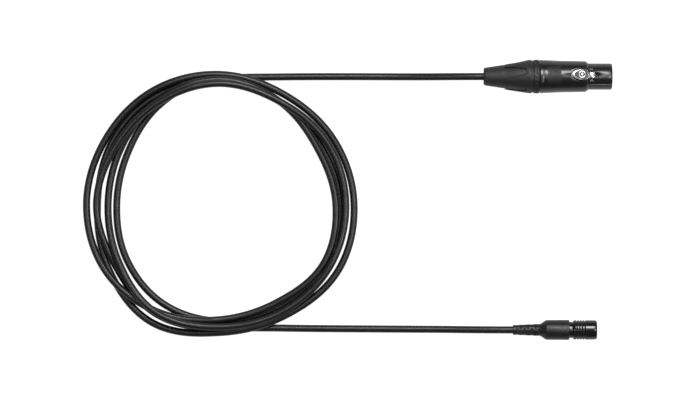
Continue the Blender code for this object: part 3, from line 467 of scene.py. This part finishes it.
def insert_resin():
    """Matt black insulator."""
    colour = (0.02, 0.02, 0.021)
    material, tree, shader = principled("insert_resin", colour, 0.5)
    tint(tree, shader, spread(tree, grain(tree, 900, 4), 0, 1), shaded(colour, 0.8), shaded(colour, 1.5))
    relief(tree, shader, grain(tree, 5000, 2), 0.03 * MM)
    return material


def plated_contact(name, colour):
    material, tree, shader = principled(name, colour, 0.25, metallic=1.0)
    tint(tree, shader, spread(tree, grain(tree, 1200, 3), 0, 1), shaded(colour, 0.8), shaded(colour, 1.1))
    tree.links.new(spread(tree, grain(tree, 3000, 2), 0.2, 0.38), shader.inputs["Roughness"])
    return material


def spring_steel():
    colour = (0.5, 0.5, 0.51)
    material, tree, shader = principled("spring_steel", colour, 0.3, metallic=1.0)
    drawn = grain(tree, 2500, 3)
    tint(tree, shader, spread(tree, drawn, 0, 1), shaded(colour, 0.7), shaded(colour, 1.2))
    relief(tree, shader, drawn, 0.01 * MM)
    return material


def core_insulation(name, colour):
    material, tree, shader = principled(name, colour, 0.4)
    tint(tree, shader, spread(tree, grain(tree, 800, 3), 0, 1), shaded(colour, 0.85), shaded(colour, 1.1))
    relief(tree, shader, grain(tree, 2500, 2), 0.02 * MM)
    return material


def bare_copper():
    colour = (0.72, 0.38, 0.24)
    material, tree, shader = principled("bare_copper", colour, 0.35, metallic=1.0)
    strands = grain(tree, 4000, 1, (0.1, 1, 1))
    tint(tree, shader, spread(tree, strands, 0, 1), shaded(colour, 0.6), shaded(colour, 1.1))
    relief(tree, shader, strands, 0.05 * MM)
    return material


def natural_nylon():
    colour = (0.74, 0.72, 0.66)
    material, tree, shader = principled("natural_nylon", colour, 0.45)
    shader.inputs["Subsurface Weight"].default_value = 0.15
    shader.inputs["Subsurface Scale"].default_value = 0.002
    tint(tree, shader, spread(tree, grain(tree, 300, 3), 0, 1), shaded(colour, 0.9), shaded(colour, 1.05))
    relief(tree, shader, grain(tree, 2000, 2), 0.02 * MM)
    return material


def light_table(name, colour, glow):
    """White translucent sheet lit from below, so that what lies on it throws hardly any shadow."""
    material, tree, shader = principled(name, colour, 0.9)
    shader.inputs["Specular IOR Level"].default_value = 0.1
    shader.inputs["Emission Color"].default_value = (1, 1, 1, 1)
    shader.inputs["Emission Strength"].default_value = glow
    return material


# ---- The cable's line


def smooth_line(route, step):
    """Points about a step apart on the curve that runs smoothly through the route's own points."""
    ends = [2 * route[0] - route[1]] + list(route) + [2 * route[-1] - route[-2]]
    line = [route[0]]
    for before, here, there, after in zip(ends, ends[1:], ends[2:], ends[3:]):
        parts = max(1, round((there - here).length / step))
        for k in range(1, parts + 1):
            t = k / parts
            line.append(
                0.5 * (
                    2 * here + (there - before) * t
                    + (2 * before - 5 * here + 4 * there - after) * t * t
                    + (3 * here - before - 3 * there + after) * t ** 3
                )
            )
    return line


def coil_radius(turns):
    """Distance of the cable's middle from the coil's middle, that many turns after the XLR's lead joins."""
    radii = [MM * r for row in COIL_RADII_MM for r in row]
    at = min(max(turns * KNOTS_PER_TURN, 0.0), len(radii) - 1.0)
    k = min(int(at), len(radii) - 2)
    t = at - k
    rise = [(radii[min(i + 1, len(radii) - 1)] - radii[max(i - 1, 0)]) / 2 for i in (k, k + 1)]
    rise = [0.0 if i in (0, len(radii) - 1) else r for i, r in zip((k, k + 1), rise)]
    return (
        (2 * t ** 3 - 3 * t ** 2 + 1) * radii[k] + (t ** 3 - 2 * t ** 2 + t) * rise[0]
        + (3 * t ** 2 - 2 * t ** 3) * radii[k + 1] + (t ** 3 - t ** 2) * rise[1]
    )


def strand_rank(turns):
    """Which strand lies over which where they cross: later turns on top, but the tail dives under."""
    if turns <= TAIL_LIFTS:
        return turns
    share = min((turns - TAIL_LIFTS) / (TAIL_UNDER - TAIL_LIFTS), 1.0)
    return TAIL_LIFTS + (UNDER_ALL - TAIL_LIFTS) * share


def cable_plan():
    """The whole cable's middle line before it settles, and the rank of each of its points."""
    turns = (sum(len(row) for row in COIL_RADII_MM) - 1) / KNOTS_PER_TURN
    lead_in = smooth_line([Vector(p) * MM for p in XLR_ROUTE_MM], CABLE_STEP)
    lead_out = smooth_line([Vector(p) * MM for p in MINI_ROUTE_MM], CABLE_STEP)[::-1]
    steps = round(turns * 2 * math.pi * coil_radius(turns / 2) / CABLE_STEP)
    line, rank = list(lead_in), [UNDER_ALL] * len(lead_in)
    for k in range(2, steps - 1):
        at = turns * k / steps
        angle = JOIN_ANGLE + 2 * math.pi * at
        radius = coil_radius(at)
        line.append(Vector((
            COIL_X + radius * math.cos(angle), COIL_Y + radius * math.sin(angle), CABLE_D / 2
        )))
        rank.append(strand_rank(at))
    return np.array(line + lead_out), np.array(rank + [UNDER_ALL] * len(lead_out))


def softened(values, reach):
    """Values spread to their neighbours by a bell curve that many points wide."""
    span = int(3 * reach)
    weights = np.exp(-0.5 * (np.arange(-span, span + 1) / reach) ** 2)
    padded = np.pad(values, span, mode="edge")
    return np.convolve(padded, weights / weights.sum(), mode="valid")


def settled(line, rank):
    """The line with each strand resting on those under it, in long low humps."""
    along = np.concatenate([[0], np.cumsum(np.linalg.norm(np.diff(line, axis=0), axis=1))])
    apart = np.linalg.norm(line[:, None, :2] - line[None, :, :2], axis=2)
    crossing = (apart < STRAND_SPACING) & (np.abs(along[:, None] - along[None, :]) > CROSSING_APART)
    under, over = np.nonzero(crossing & (rank[:, None] < rank[None, :]))
    lift = np.sqrt(STRAND_SPACING ** 2 - apart[under, over] ** 2)
    rest = line[:, 2]
    height = rest.copy()
    for turn in range(SETTLE_ROUNDS):
        height = rest + softened(height - rest, SETTLE_REACH if turn else FIRST_REACH)
        for _ in range(SETTLE_LAYERS):
            np.maximum.at(height, over, height[under] + lift)
    height = rest + softened(height - rest, LAST_REACH)
    return np.column_stack([line[:, :2], height])


# ---- The pieces


class CABLECOIL_OT_cable(bpy.types.Operator):
    """The whole cable, from inside the XLR's boot, round the coil, to inside the small connector's grip"""

    bl_idname = "cablecoil.cable"
    bl_label = "Cable"

    def execute(self, context):
        look = context.scene.cable_look
        line = settled(*cable_plan())
        curve = bpy.data.curves.new("cable", "CURVE")
        curve.dimensions = "3D"
        curve.bevel_depth = look.diameter / 2
        curve.bevel_resolution = 6
        curve.use_fill_caps = True
        spline = curve.splines.new("POLY")
        spline.points.add(len(line) - 1)
        for point, place in zip(spline.points, line):
            point.co = (*place, 1)
        cable = bpy.data.objects.new("cable", curve)
        context.scene.collection.objects.link(cable)
        dress(
            cable, jacket_pvc(look.jacket), ROOT, "cable_jacket",
            "cable_coil", "cable_lead_xlr", "cable_lead_mini",
        )
        return {"FINISHED"}


class CABLECOIL_OT_boot(bpy.types.Operator):
    """The XLR's rubber boot, which shows behind the bushing and through its windows"""

    bl_idname = "cablecoil.boot"
    bl_label = "Boot"

    def execute(self, context):
        look = context.scene.socket_look
        boot = turned("boot", XLR_REAR, XLR_AXIS, (
            (0.0, 2.45), (0.0, 4.5), (0.1, 4.85), (0.4, 5.15), (0.9, 5.36), (1.5, 5.46), (3.8, 5.83),
            (6.9, 6.3), (9.9, 6.74), (11.7, 7.0), (20.0, 7.25), (26.9, 7.45), (26.9, 4.75), (17.3, 4.75),
            (17.3, 2.45),
        ))
        for k in range(WINDOWS):
            pad = turned("pad", XLR_REAR, XLR_AXIS, (
                (11.9, 6.6), (11.9, 6.95), (14.1, 7.55), (18.9, 8.3), (24.9, 9.2), (25.6, 9.25), (25.6, 6.6),
            ))
            fill = raised("fill", window_outline(PAD_GAP), XLR_AXIS.z + 4 * MM, XLR_AXIS.z + 13 * MM)
            combine(pad, fill, "INTERSECT")
            combine(boot, rolled(pad, WINDOW_FIRST + 2 * math.pi * k / WINDOWS, XLR_AXIS), "UNION")
        eased(boot, 0.12 * MM)
        dress(boot, boot_rubber("boot_rubber", look.rubber, 0.48), ROOT, "rubber_boot", "xlr_boot")
        return {"FINISHED"}


WINDOWS = 5
WINDOW_FIRST = math.radians(-17)
WINDOW_REAR, WINDOW_FRONT = 12.3 * MM, 25.7 * MM
WINDOW_MOUTH, WINDOW_END = 3.8 * MM, 2.4 * MM      # half widths
PAD_GAP = 0.3 * MM


def window_outline(inset=0.0):
    """A window of the bushing from above: open towards the cable, round at its other end."""
    rear, front = XLR_REAR + WINDOW_REAR, XLR_REAR + WINDOW_FRONT - WINDOW_END
    mouth, end = WINDOW_MOUTH - inset, WINDOW_END - inset
    side = [(rear - 3 * MM, mouth + 0.3 * MM), (rear, mouth), (rear + 4 * MM, mouth * 0.93)]
    for k in range(7):
        angle = math.radians(90 - 90 * k / 6)
        side.append((front + end * math.cos(angle), end * math.sin(angle)))
    side += [(x, -y) for x, y in reversed(side[:-1])]
    return [(x, XLR_AXIS.y + y) for x, y in side]


class CABLECOIL_OT_bushing(bpy.types.Operator):
    """The screwed rear collar, cut into fingers by five round-ended windows"""

    bl_idname = "cablecoil.bushing"
    bl_label = "Bushing"

    def execute(self, context):
        bushing = turned("bushing", XLR_REAR, XLR_AXIS, (
            (12.3, 7.35), (12.3, 7.6), (12.9, 7.78), (14.1, 8.03), (18.9, 8.8), (24.9, 9.72), (26.7, 9.97),
            (27.9, 10.1), (28.35, 10.13), (28.6, 10.0), (28.65, 9.7), (29.7, 9.7), (29.7, 7.7), (37.5, 7.7),
            (37.5, 6.2), (32.0, 6.2), (29.0, 4.7), (27.3, 4.7), (27.3, 7.82), (20.0, 7.58),
        ))
        for k in range(WINDOWS):
            cutter = raised("window", window_outline(), XLR_AXIS.z + 4.6 * MM, XLR_AXIS.z + 13 * MM)
            combine(bushing, rolled(cutter, WINDOW_FIRST + 2 * math.pi * k / WINDOWS, XLR_AXIS))
        eased(bushing, 0.16 * MM, 3, 35)
        nylon = bushing_nylon(context.scene.socket_look.bushing)
        dress(bushing, nylon, ROOT, "bushing_plastic", "xlr_bushing")
        return {"FINISHED"}


TOOTH_GAP = 1.5 * MM


class CABLECOIL_OT_coding_ring(bpy.types.Operator):
    """The toothed ring between the bushing and the housing"""

    bl_idname = "cablecoil.coding_ring"
    bl_label = "Coding ring"

    def execute(self, context):
        look = context.scene.socket_look
        ring = turned("coding_ring", CODING_REAR, XLR_AXIS, (
            (0.0, 8.0), (0.0, 9.95), (0.2, 10.15), (3.05, 10.15), (3.3, 9.9), (3.3, 8.0),
        ), 144)
        gaps = [rolled(block(
            "tooth_gap", (CODING_REAR + 1.0 * MM, XLR_AXIS.y - TOOTH_GAP / 2, XLR_AXIS.z + 9.7 * MM),
            (CODING_REAR + 2.4 * MM, XLR_AXIS.y + TOOTH_GAP / 2, XLR_AXIS.z + 11 * MM)
        ), 2 * math.pi * (k + 0.5) / look.teeth, XLR_AXIS) for k in range(look.teeth)]
        combine(ring, joined(gaps))
        eased(ring, 0.07 * MM)
        dress(ring, bushing_nylon(look.bushing), ROOT, "ring_plastic", "xlr_coding_ring")
        return {"FINISHED"}


# The latch's places, back from the XLR's front or over its axis, and its half widths and radii
BUTTON_BACK, BUTTON_FORE, BUTTON_HALF, BUTTON_TOP = 24.0 * MM, 14.8 * MM, 3.5 * MM, 9.5 * MM
BUTTON_CORNER, BUTTON_CORNER_LEAST = 1.1 * MM, 0.2 * MM
BUTTON_CLEARANCE, BUTTON_RIM, BUTTON_SINK = 0.45 * MM, 0.6 * MM, 0.45 * MM
POINT_RIM = 1.7         # the rim's width at the button's point, in rims
SHOULDER = 0.68         # how far along the button from its point its sides become straight
MARK_BACK, MARK_R, MARK_HOLE_R = 18.4 * MM, 2.2 * MM, 1.55 * MM
HOOK_BACK, HOOK_FORE, HOOK_HALF = 13.4 * MM, 11.6 * MM, 1.65 * MM
LEVER_FORE = 10.8 * MM
PIVOT_BACK, PIVOT_HIGH, BOSS_R, PIN_HOLE_R = 26.6 * MM, 6.2 * MM, 1.3 * MM, 0.8 * MM
LUG_BACK, LUG_SIDE, LUG_R = 12.3 * MM, 3.05 * MM, 0.6 * MM
LUG_WELL = 1.9 * MM
RIB_R, RIB_TURN, RIB_LENGTH = 0.3 * MM, math.radians(40), 13.2 * MM
NOTCH_MM = ((10.6, 1.7), (9.4, 1.7), (8.2, 1.2), (7.4, 0.4))        # back from the front, and half widths


def on_xlr(back, side, high):
    """A place back from the XLR's front, beside its axis and over it."""
    return XLR_FRONT - back, XLR_AXIS.y + side, XLR_AXIS.z + high


def shield(inset, reach=None):
    """The press button's outline from above, its point towards the cable, made smaller by an inset.

    With a reach, its front lies that far before the button's own.
    """
    rear, front = XLR_FRONT - BUTTON_BACK + inset * POINT_RIM, XLR_FRONT - BUTTON_FORE - inset
    half = BUTTON_HALF - inset
    corner = max(BUTTON_CORNER - inset, BUTTON_CORNER_LEAST)
    shoulder = rear + SHOULDER * (front - rear)
    if reach is not None:
        front = XLR_FRONT - BUTTON_FORE + reach
    side = []
    for k in range(1, 13):
        angle = math.radians(90 * k / 12)
        side.append((shoulder - (shoulder - rear) * math.cos(angle), half * math.sin(angle)))
    for k in range(6):
        angle = math.radians(90 * k / 5)
        side.append((front - corner + corner * math.sin(angle), half - corner + corner * math.cos(angle)))
    points = [(rear, 0.0)] + side + [(x, -y) for x, y in reversed(side)]
    return [(x, XLR_AXIS.y + y) for x, y in points]


class CABLECOIL_OT_housing(bpy.types.Operator):
    """The lacquered metal housing, with the button's window, slot, notch, rib and blank label patch"""

    bl_idname = "cablecoil.housing"
    bl_label = "Housing"

    def execute(self, context):
        look = context.scene.socket_look
        housing = turned("housing", HOUSING_REAR, XLR_AXIS, (
            (0.0, 8.0), (0.0, 9.8), (0.3, 10.05), (2.3, 10.05), (2.4, 9.75), (2.9, 9.75), (3.0, 9.98),
            (3.4, 9.95), (6.4, 9.8), (9.4, 9.64), (12.4, 9.5), (18.4, 9.42), (26.3, 9.27), (27.3, 9.25),
            (27.8, 9.1), (28.6, 8.45), (29.1, 8.05), (29.5, 7.9), (42.3, 7.9), (42.85, 7.78), (43.25, 7.55),
            (43.45, 7.3), (43.5, 7.15), (43.4, 7.1), (27.5, 7.1), (27.1, 8.0),
        ), 128)
        floor, top = XLR_AXIS.z + 4 * MM, XLR_AXIS.z + 12 * MM
        window = raised("window", shield(-BUTTON_CLEARANCE), floor, top)
        lip = raised("window_lip", shield(-BUTTON_CLEARANCE - 0.35 * MM), XLR_AXIS.z + 9.05 * MM, top)
        slot = block(
            "hook_slot", (XLR_FRONT - HOOK_BACK - 0.4 * MM, XLR_AXIS.y - HOOK_HALF - 0.35 * MM, floor),
            (XLR_FRONT - HOOK_FORE + 0.6 * MM, XLR_AXIS.y + HOOK_HALF + 0.35 * MM, top)
        )
        for side in (-LUG_SIDE, LUG_SIDE):
            well = block(
                "lug_well", on_xlr(13.5 * MM, side - LUG_WELL / 2, 6.4 * MM),
                on_xlr(11.3 * MM, side + LUG_WELL / 2, 12 * MM)
            )
            combine(housing, rolled(well, XLR_ROLL, XLR_AXIS))
        notch_outline = NOTCH_MM + tuple((back, -side) for back, side in reversed(NOTCH_MM))
        notch = raised("notch", [
            (XLR_FRONT - back * MM, XLR_AXIS.y + side * MM) for back, side in notch_outline
        ], floor, top)
        for cutter in (lip, window, slot, notch):
            combine(housing, rolled(cutter, XLR_ROLL, XLR_AXIS))
        eased(housing, 0.1 * MM, 2, 28)
        rib = rod("rib", RIB_R, RIB_LENGTH, on_xlr(7.6 * MM, 0, 7.8 * MM), LENGTHWAYS, 24)
        only(rib)
        bpy.ops.object.shade_smooth_by_angle(angle=math.radians(40))
        combine(housing, rolled(rib, RIB_TURN, XLR_AXIS), "UNION")
        dress(housing, housing_lacquer(look.housing), ROOT, "black_metal", "xlr_shell")
        label = turned("label", HOUSING_REAR, XLR_AXIS, (
            (4.6, 9.2), (4.6, 9.93), (6.4, 9.85), (9.4, 9.69), (12.7, 9.54), (12.7, 9.2),
        ), 128)
        patch = block(
            "patch", (HOUSING_REAR + 4 * MM, XLR_AXIS.y - 5.2 * MM, XLR_AXIS.z),
            (HOUSING_REAR + 14 * MM, XLR_AXIS.y + 5.2 * MM, top)
        )
        combine(label, patch, "INTERSECT")
        eased(rolled(label, XLR_ROLL, XLR_AXIS), 0.04 * MM, 1)
        dress(label, boot_rubber("label_skin", look.housing, 0.5), ROOT, "black_metal")
        return {"FINISHED"}


class CABLECOIL_OT_latch(bpy.types.Operator):
    """The press button with its rails and round mark, its lever and its hook"""

    bl_idname = "cablecoil.latch"
    bl_label = "Latch"

    def execute(self, context):
        look = context.scene.socket_look
        low, top = XLR_AXIS.z + 6.3 * MM, XLR_AXIS.z + 11 * MM
        latch = raised("latch", shield(0.0), low, top)
        crown = turned("crown", XLR_FRONT, XLR_AXIS, (
            (-25.6, 0.1), (-25.6, 9.62), (-14.0, 9.42), (-14.0, 0.1)
        ), 192)
        combine(latch, crown, "INTERSECT")
        sunk = raised("sunk", shield(BUTTON_RIM, 0.5 * MM), XLR_AXIS.z + BUTTON_TOP - BUTTON_SINK, top)
        mark = rod("mark", MARK_R, 1.6 * MM, on_xlr(MARK_BACK, 0, 8.65 * MM))
        combine(mark, rod("mark_hole", MARK_HOLE_R, 2 * MM, on_xlr(MARK_BACK, 0, 9.98 * MM)))
        dome = ball("dome", 2 * MM, on_xlr(MARK_BACK, 0, 8.2 * MM), 48, 24, scale=(1, 1, 0.5))
        combine(latch, sunk)
        eased(latch, 0.22 * MM, 3)
        eased(mark, 0.2 * MM, 3)
        combine(latch, mark, "UNION")
        combine(latch, dome, "UNION")
        lever = block(
            "lever", on_xlr(PIVOT_BACK, -HOOK_HALF, 5.4 * MM), on_xlr(LEVER_FORE, HOOK_HALF, 6.5 * MM)
        )
        hook = block(
            "hook", on_xlr(HOOK_BACK, -HOOK_HALF, 5.7 * MM), on_xlr(HOOK_FORE, HOOK_HALF, 8.2 * MM)
        )
        pivot = on_xlr(PIVOT_BACK, 0, PIVOT_HIGH)
        boss = rod("boss", BOSS_R, 2 * HOOK_HALF, pivot, ACROSS, 32)
        pin_hole = rod("pin_hole", PIN_HOLE_R, 4 * HOOK_HALF, pivot, ACROSS, 24)
        combine(hook, turned("hook_crown", XLR_FRONT, XLR_AXIS, (
            (-14.0, 0.1), (-14.0, 7.75), (-11.0, 7.65), (-11.0, 0.1)
        ), 96), "INTERSECT")
        eased(hook, 0.2 * MM, 3)
        combine(lever, hook, "UNION")
        combine(lever, boss, "UNION")
        combine(lever, pin_hole)
        eased(lever, 0.12 * MM, 2)
        for piece in (latch, lever):
            rolled(piece, XLR_ROLL, XLR_AXIS)
            bpy.ops.object.shade_smooth_by_angle(angle=math.radians(30))
        nickel = nickel_plate(look.button)
        dress(latch, nickel, LATCH, "silver_metal", "xlr_latch")
        dress(lever, nickel, LATCH, "silver_metal")
        # Painted shade: a thin sheet in the boot's dark rubber colour, laid over the button's sunk nickel
        # floor in place of the dark reflection there
        painted_shade_sheet = raised(
            "button_painted_shade", shield(BUTTON_RIM + 0.05 * MM, -0.1 * MM),
            XLR_AXIS.z + 8.8 * MM, XLR_AXIS.z + 9.12 * MM
        )
        eased(rolled(painted_shade_sheet, XLR_ROLL, XLR_AXIS), 0.03 * MM, 1)
        dress(painted_shade_sheet, boot_rubber("button_painted_shade", look.rubber, 0.35), LATCH, "silver_metal")
        lugs = []
        for side, high in ((-LUG_SIDE, 6.85 * MM), (LUG_SIDE, 7.0 * MM)):
            lug = ball("lug", LUG_R, on_xlr(LUG_BACK, side, high), 24, 16, rotation=LENGTHWAYS)
            lugs.append(rolled(lug, XLR_ROLL, XLR_AXIS))
        lugs = joined(lugs)
        bpy.ops.object.shade_smooth()
        lugs.name = lugs.data.name = "catch_lugs"
        dress(lugs, nickel, ROOT, "silver_metal")
        return {"FINISHED"}


RELIEF_FIRST = math.radians(7)
SLIT_ROWS, SLIT_STEP, SLITS_ROUND = 7, 2.2 * MM, 4
SLIT_LENGTH, SLIT_WIDTH, SLIT_FLOOR = 1.2 * MM, 2.8 * MM, 2.55 * MM


class CABLECOIL_OT_grip(bpy.types.Operator):
    """The small connector's moulded grip and its slit strain relief"""

    bl_idname = "cablecoil.grip"
    bl_label = "Grip"

    def execute(self, context):
        grip = turned("grip", MINI_REAR, MINI_AXIS, (
            (0.0, 2.45), (0.0, 2.85), (0.15, 3.0), (1.6, 3.05), (4.1, 3.15), (9.0, 3.35), (13.8, 3.55),
            (16.4, 3.68), (16.8, 3.85), (19.4, 5.6), (19.8, 5.88), (20.4, 5.95), (33.2, 6.05), (33.6, 5.98),
            (33.8, 5.75), (33.8, 5.1), (33.3, 5.1), (33.3, 4.1), (22.0, 4.1), (22.0, 2.45),
        ))
        slits = []
        for k in range(SLIT_ROWS):
            x = MINI_REAR + 2.5 * MM + SLIT_STEP * k
            for n in range(SLITS_ROUND):
                slit = block(
                    "slit", (x - SLIT_LENGTH / 2, MINI_AXIS.y - SLIT_WIDTH / 2, MINI_AXIS.z + SLIT_FLOOR),
                    (x + SLIT_LENGTH / 2, MINI_AXIS.y + SLIT_WIDTH / 2, MINI_AXIS.z + 5 * MM)
                )
                turn = RELIEF_FIRST + 2 * math.pi / SLITS_ROUND * (n + k % 2 / 2)
                slits.append(rolled(slit, turn, MINI_AXIS))
        combine(grip, joined(slits))
        eased(grip, 0.16 * MM, 3)
        rubber = boot_rubber("grip_rubber", context.scene.small_look.grip, 0.4)
        dress(grip, rubber, ROOT, "rubber_grip", "mini_boot")
        return {"FINISHED"}


GROOVE_FIRST_MM, GROOVE_STEP_MM = 2.2, 1.6
GROOVE_MM = (
    (-0.45, 5.85), (-0.36, 5.76), (-0.24, 5.52), (0, 5.42), (0.24, 5.52), (0.36, 5.76), (0.45, 5.85)
)


class CABLECOIL_OT_coupling_ring(bpy.types.Operator):
    """The gloss-black ring that is pulled back to unlock, with turned grooves round it"""

    bl_idname = "cablecoil.coupling_ring"
    bl_label = "Coupling ring"

    def execute(self, context):
        look = context.scene.small_look
        outline = [(0.0, 5.2), (0.0, 5.4), (0.25, 5.65), (0.6, 5.83)]
        for k in range(look.grooves):
            x = GROOVE_FIRST_MM + GROOVE_STEP_MM * k
            outline += [(x + along, r) for along, r in GROOVE_MM]
        outline += [
            (12.9, 5.85), (13.4, 5.79), (13.8, 5.66), (14.1, 5.48), (14.3, 5.2), (12.0, 5.2), (12.0, 4.5),
            (10.6, 4.5), (10.6, 5.2),
        ]
        ring = turned("coupling_ring", RING_REAR, MINI_AXIS, outline, 128)
        only(ring)
        bpy.ops.object.shade_smooth_by_angle(angle=math.radians(38))
        dress(ring, gloss_black_turning(look.ring), RING, "gloss_black_metal", "mini_coupling_ring")
        return {"FINISHED"}


class CABLECOIL_OT_barrel(bpy.types.Operator):
    """The small connector's metal body: the neck that shows, and the tube inside the ring"""

    bl_idname = "cablecoil.barrel"
    bl_label = "Barrel"

    def execute(self, context):
        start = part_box("mini_barrel")[0][0]
        barrel = turned("barrel", start, MINI_AXIS, (
            (0.0, 3.3), (0.0, 3.8), (10.7, 3.8), (10.7, 4.7), (10.9, 4.88), (12.8, 4.88), (13.0, 4.7),
            (13.0, 4.2), (18.0, 4.2), (18.0, 4.85), (18.6, 4.85), (18.6, 4.2), (25.9, 4.2), (25.9, 3.75),
            (26.8, 3.75), (26.8, 4.2), (27.35, 4.2), (27.6, 4.0), (27.6, 3.4), (27.4, 3.3),
        ))
        eased(barrel, 0.05 * MM)
        dress(barrel, neck_metal(), ROOT, "neck_metal", "mini_barrel")
        return {"FINISHED"}


class CABLECOIL_OT_inner_parts(bpy.types.Operator):
    """Materials for the inserts, contacts, wires, springs and other parts inside"""

    bl_idname = "cablecoil.inner_parts"
    bl_label = "Inner parts"

    def execute(self, context):
        resin, steel = insert_resin(), spring_steel()
        silver = plated_contact("silver_contact", (0.78, 0.78, 0.75))
        gold = plated_contact("gold_contact", (0.85, 0.62, 0.25))
        red = core_insulation("red_core", (0.5, 0.02, 0.015))
        white = core_insulation("white_core", (0.78, 0.78, 0.75))
        copper = bare_copper()
        finishes = {
            "xlr_insert": resin, "mini_insert": resin, "xlr_chuck": natural_nylon(), "xlr_latch_pin": steel,
            "xlr_latch_spring": steel, "xlr_earth_tab": silver, "xlr_core_hot": red, "xlr_core_cold": white,
            "xlr_drain_wire": copper, "mini_ring_spring": steel, "mini_retaining_clip": steel,
            "mini_crimp_sleeve": steel, "mini_core_hot": red, "mini_core_cold": white,
            "mini_drain_wire": copper,
        }
        for number in (1, 2, 3):
            finishes[f"xlr_contact_{number}"] = silver
            finishes[f"mini_contact_{number}"] = gold
        for name, material in finishes.items():
            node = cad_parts[name]
            node.data.materials.clear()
            node.data.materials.append(material)
        return {"FINISHED"}


# ---- The stage

VIEW_X, VIEW_Y, VIEW_Z = 1.8 * MM, -2.8 * MM, 10 * MM
VIEW_WIDTH = 420.8 * MM
SENSOR = 36.0
FLOOR_SIZE, FLOOR_Z, UNDERLAY_Z = 8, -0.05 * MM, -0.3 * MM
ROOM_LIGHT = 0.12
# Name, place, what it faces, size and power
SOFT_LIGHTS = (
    ("key", (0.22, 0.78, 1.3), (0.22, 0, 0), (0.5, 0.62), 14),
    ("left", (-0.63, 0, 1.4), (-0.1, 0, 0), (0.3, 0.5), 3),
    ("above", (0.24, 0.3, 1.4), (0.24, 0.3, 0), (0.5, 0.35), 0.7),
    ("right", (0.8, 0, 1.4), (-0.05, 0, 0), (0.34, 0.6), 8),
)


def sheet(name, height, material):
    bpy.ops.object.select_all(action="DESELECT")
    bpy.ops.mesh.primitive_plane_add(size=FLOOR_SIZE, location=(0, 0, height))
    piece = named(name)
    piece.data.materials.append(material)
    return piece


def soft_light(name, place, target, size, power):
    data = bpy.data.lights.new(name, "AREA")
    data.shape = "RECTANGLE"
    data.size, data.size_y = size
    data.energy = power
    light = bpy.data.objects.new(name, data)
    light.location = place
    light.rotation_euler = (Vector(target) - Vector(place)).to_track_quat("-Z", "Y").to_euler()
    bpy.context.scene.collection.objects.link(light)


class CABLECOIL_OT_stage(bpy.types.Operator):
    """The camera looking straight down, the pale floor and the soft lights"""

    bl_idname = "cablecoil.stage"
    bl_label = "Stage"

    def execute(self, context):
        look = context.scene.stage_look
        camera = bpy.data.objects.new("camera", bpy.data.cameras.new("camera"))
        camera.location = (VIEW_X, VIEW_Y, VIEW_Z + look.distance)
        camera.data.sensor_width = SENSOR
        camera.data.lens = SENSOR * look.distance / VIEW_WIDTH
        context.scene.collection.objects.link(camera)
        context.scene.camera = camera
        floor = sheet("floor", FLOOR_Z, light_table("light_table", look.floor, look.glow))
        floor.visible_glossy = False
        underlay = sheet("floor_underlay", UNDERLAY_Z, light_table("underlay", look.floor, look.underlay))
        underlay.visible_camera = False
        for light in SOFT_LIGHTS:
            soft_light(*light)
        world = bpy.data.worlds.new("studio")
        context.scene.world = world
        world.use_nodes = True
        background = world.node_tree.nodes["Background"]
        background.inputs["Color"].default_value = (1, 1, 1, 1)
        background.inputs["Strength"].default_value = ROOM_LIGHT
        context.scene.view_settings.view_transform = "Standard"
        return {"FINISHED"}


class CABLECOIL_PT_panel(bpy.types.Panel):
    """Lists the pieces in the order in which they are made"""

    bl_label = "Cable coil"
    bl_idname = "CABLECOIL_PT_panel"
    bl_space_type = "VIEW_3D"
    bl_region_type = "UI"
    bl_category = "Cable coil"

    def draw(self, context):
        for name in LOOKS:
            group = getattr(context.scene, name)
            column = self.layout.column()
            for key in group.__annotations__:
                column.prop(group, key)
        for operator in OPERATORS:
            self.layout.operator(operator.bl_idname)


LOOKS = {
    "stage_look": StageLook, "cable_look": CableLook, "socket_look": SocketLook,
    "small_look": SmallConnectorLook,
}
OPERATORS = (
    CABLECOIL_OT_stage, CABLECOIL_OT_cable, CABLECOIL_OT_boot, CABLECOIL_OT_bushing,
    CABLECOIL_OT_coding_ring, CABLECOIL_OT_housing, CABLECOIL_OT_latch, CABLECOIL_OT_grip,
    CABLECOIL_OT_barrel, CABLECOIL_OT_coupling_ring, CABLECOIL_OT_inner_parts,
)


def register():
    for look in LOOKS.values():
        bpy.utils.register_class(look)
    for name, look in LOOKS.items():
        setattr(bpy.types.Scene, name, PointerProperty(type=look))
    for operator in OPERATORS:
        bpy.utils.register_class(operator)
    bpy.utils.register_class(CABLECOIL_PT_panel)


def unregister():
    bpy.utils.unregister_class(CABLECOIL_PT_panel)
    for operator in reversed(OPERATORS):
        bpy.utils.unregister_class(operator)
    for name, look in LOOKS.items():
        delattr(bpy.types.Scene, name)
        bpy.utils.unregister_class(look)


def main():
    register()
    for operator in OPERATORS:
        name = operator.bl_idname.split(".")[1]
        getattr(bpy.ops.cablecoil, name)()


if __name__ == "__main__":
    main()
